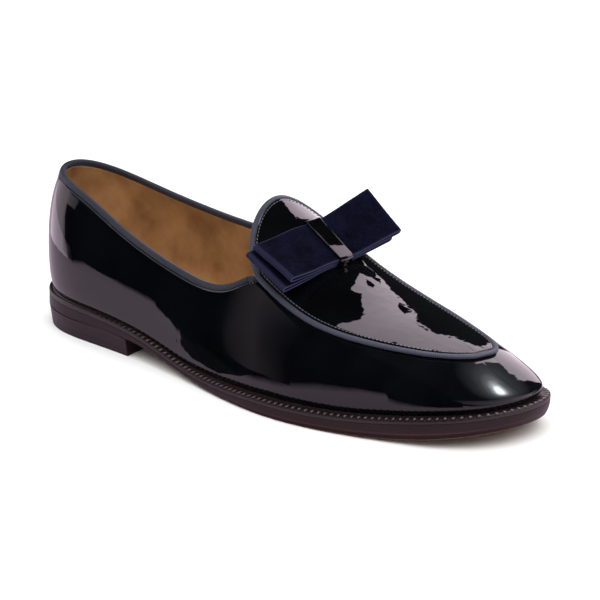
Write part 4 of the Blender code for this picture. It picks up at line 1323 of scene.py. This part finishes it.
def soft_card_material(name):
    """Black where the mesh's cover is 1, clear where it is 0."""
    material, tree = new_material(name)
    tree.nodes.remove(tree.nodes["Principled BSDF"])
    clear = add_node(tree, "ShaderNodeBsdfTransparent").outputs[0]
    black = add_node(tree, "ShaderNodeEmission", {"Strength": 0.0}).outputs[0]
    mixed = add_node(tree, "ShaderNodeMixShader", {0: attribute(tree, "cover"), 1: clear, 2: black})
    tree.links.new(mixed.outputs[0], tree.nodes["Material Output"].inputs["Surface"])
    return material


def build_panels():
    """Black cards and sheets of light that only show as reflections."""
    for row in PANELS:
        corners = np.insert(np.array(row["corners"], float), "xyz".index(row["axis"]), row["level"], axis=1)
        glow = np.ones(len(corners)) if row["glow"] is EVEN else row["glow"]
        light = glow_material(row["name"] + "_light", row["radiance"])
        mirrored_plane(row["name"], corners, whole(corners), light, {"glow": glow})


def build_side_card():
    """The black card along the lateral side, soft at its edges."""
    x, low, top = (column(SIDE_CARD, name) for name in ("x", "low", "top"))
    soft = SIDE_CARD_SOFT / 2
    heights = [low - soft, low + soft, top - soft, top + soft]
    rows = [np.column_stack([x, 0 * x + SIDE_CARD_AT, np.maximum(z, SIDE_CARD_FLOOR)]) for z in heights]
    cover = np.repeat([0.0, 1.0, 1.0, 0.0], len(x)).reshape(len(rows), -1)
    cover[:, 0] = 0.0
    faces = grid_faces(len(rows), len(x))
    black = soft_card_material("soft_black_card")
    mirrored_plane("side_card", np.concatenate(rows), faces, black, {"cover": cover})


def aim(thing, place, target):
    """Puts a camera or light at a place, looking at a target."""
    thing.location = place
    thing.rotation_euler = (Vector(target) - Vector(place)).to_track_quat("-Z", "Y").to_euler()


def area_light(name, centre, facing, shape, size):
    """A light of a shape and size that only shows as a reflection."""
    light = bpy.data.lights.new(name, "AREA")
    light.shape = shape
    light.size, light.size_y = size[0] * MM, size[1] * MM
    made = add_object(name, light)
    place = to_frame(centre)
    aim(made, place, place + np.array(facing))
    made.visible_diffuse = False
    made.visible_camera = False
    return light


def build_toe_light():
    """The disc of light over the toe's tip, whose nodes fade it toward its rim."""
    wide = 2 * TOE_LIGHT_RADIUS
    light = area_light("toe_light", TOE_LIGHT, TOE_LIGHT_FACING, "DISK", (wide, wide))
    light.energy = TOE_LIGHT_RADIANCE * math.pi * math.pi * (TOE_LIGHT_RADIUS * MM) ** 2
    light.color = TOE_LIGHT_COLOUR
    light.use_nodes = True
    tree = light.node_tree
    place = add_node(tree, "ShaderNodeNewGeometry").outputs["Parametric"]
    away = add_node(tree, "ShaderNodeVectorMath", {0: place, 1: (0.5, 0.5, 0.0)}, operation="DISTANCE")
    share = math_node(tree, "MULTIPLY", away.outputs["Value"], 2.0)
    stops = [(row["radius"] / TOE_LIGHT_RADIUS, (row["glow"],) * 3) for row in TOE_LIGHT_FADE]
    tree.links.new(ramp(tree, share, stops), tree.nodes["Emission"].inputs["Strength"])


def build_lights():
    """Wide soft light on everything, and lights that only show as reflections."""
    world = bpy.data.worlds.new("studio")
    world.use_nodes = True
    world.node_tree.nodes["Background"].inputs["Color"].default_value = WORLD_COLOUR
    bpy.context.scene.world = world
    for row in SUNS:
        light = bpy.data.lights.new(row["name"], "SUN")
        light.energy = row["strength"]
        light.angle = math.radians(row["angle"])
        sun = add_object(row["name"], light)
        aim(sun, row["direction"], (0, 0, 0))
        sun.visible_glossy = False
    for row in SOFTBOXES:
        box = area_light(row["name"], row["centre"], row["facing"], "RECTANGLE", (row["wide"], row["tall"]))
        box.energy = row["radiance"] * math.pi * box.size * box.size_y
        box.color = LILAC
    build_toe_light()


def build_camera():
    """Camera at the photograph's angle, aimed at the middle of the shoe."""
    azimuth, elevation = math.radians(AZIMUTH), math.radians(ELEVATION)
    away = np.array([math.sin(azimuth) * math.cos(elevation), -math.cos(azimuth) * math.cos(elevation),
                     math.sin(elevation)])
    data = bpy.data.cameras.new("camera")
    data.sensor_width = SENSOR
    data.lens = PHOTO_FOCAL * ZOOM * SENSOR / IMAGE_SIZE
    data.clip_end = CLIP_END
    camera = add_object("camera", data)
    target = to_frame(AIM)
    aim(camera, target + away * DISTANCE * MM, target)
    bpy.context.scene.camera = camera


def main():
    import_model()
    bpy.context.scene.view_settings.view_transform = "Standard"
    build_camera()
    build_lights()
    build_panels()
    build_side_card()
    build_floor()
    lining = lining_material("tan_lining", LINING_DARK, LINING_LIGHT)
    navy, apron, black = (patent_material(**row) for row in PATENTS)
    slate, navy_ribbon = (grosgrain_material(**row) for row in RIBBONS)
    pale_thread, slate_thread = (thread_material(**row) for row in THREADS)
    velvet = velvet_material("navy_velvet")
    build_upper([navy, lining])
    build_apron([apron, lining])
    build_apron_binding(slate)
    build_collar_binding(navy_ribbon)
    build_apron_stitches(pale_thread)
    build_collar_stitches(slate_thread)
    build_welt(welt_material("welt_leather"))
    build_outsole(sole_material("sole_leather"))
    build_heel(heel_material("heel_leather"))
    build_insole(lining)
    for tier in TIERS:
        build_tier(tier, velvet)
    build_band(black)


main()
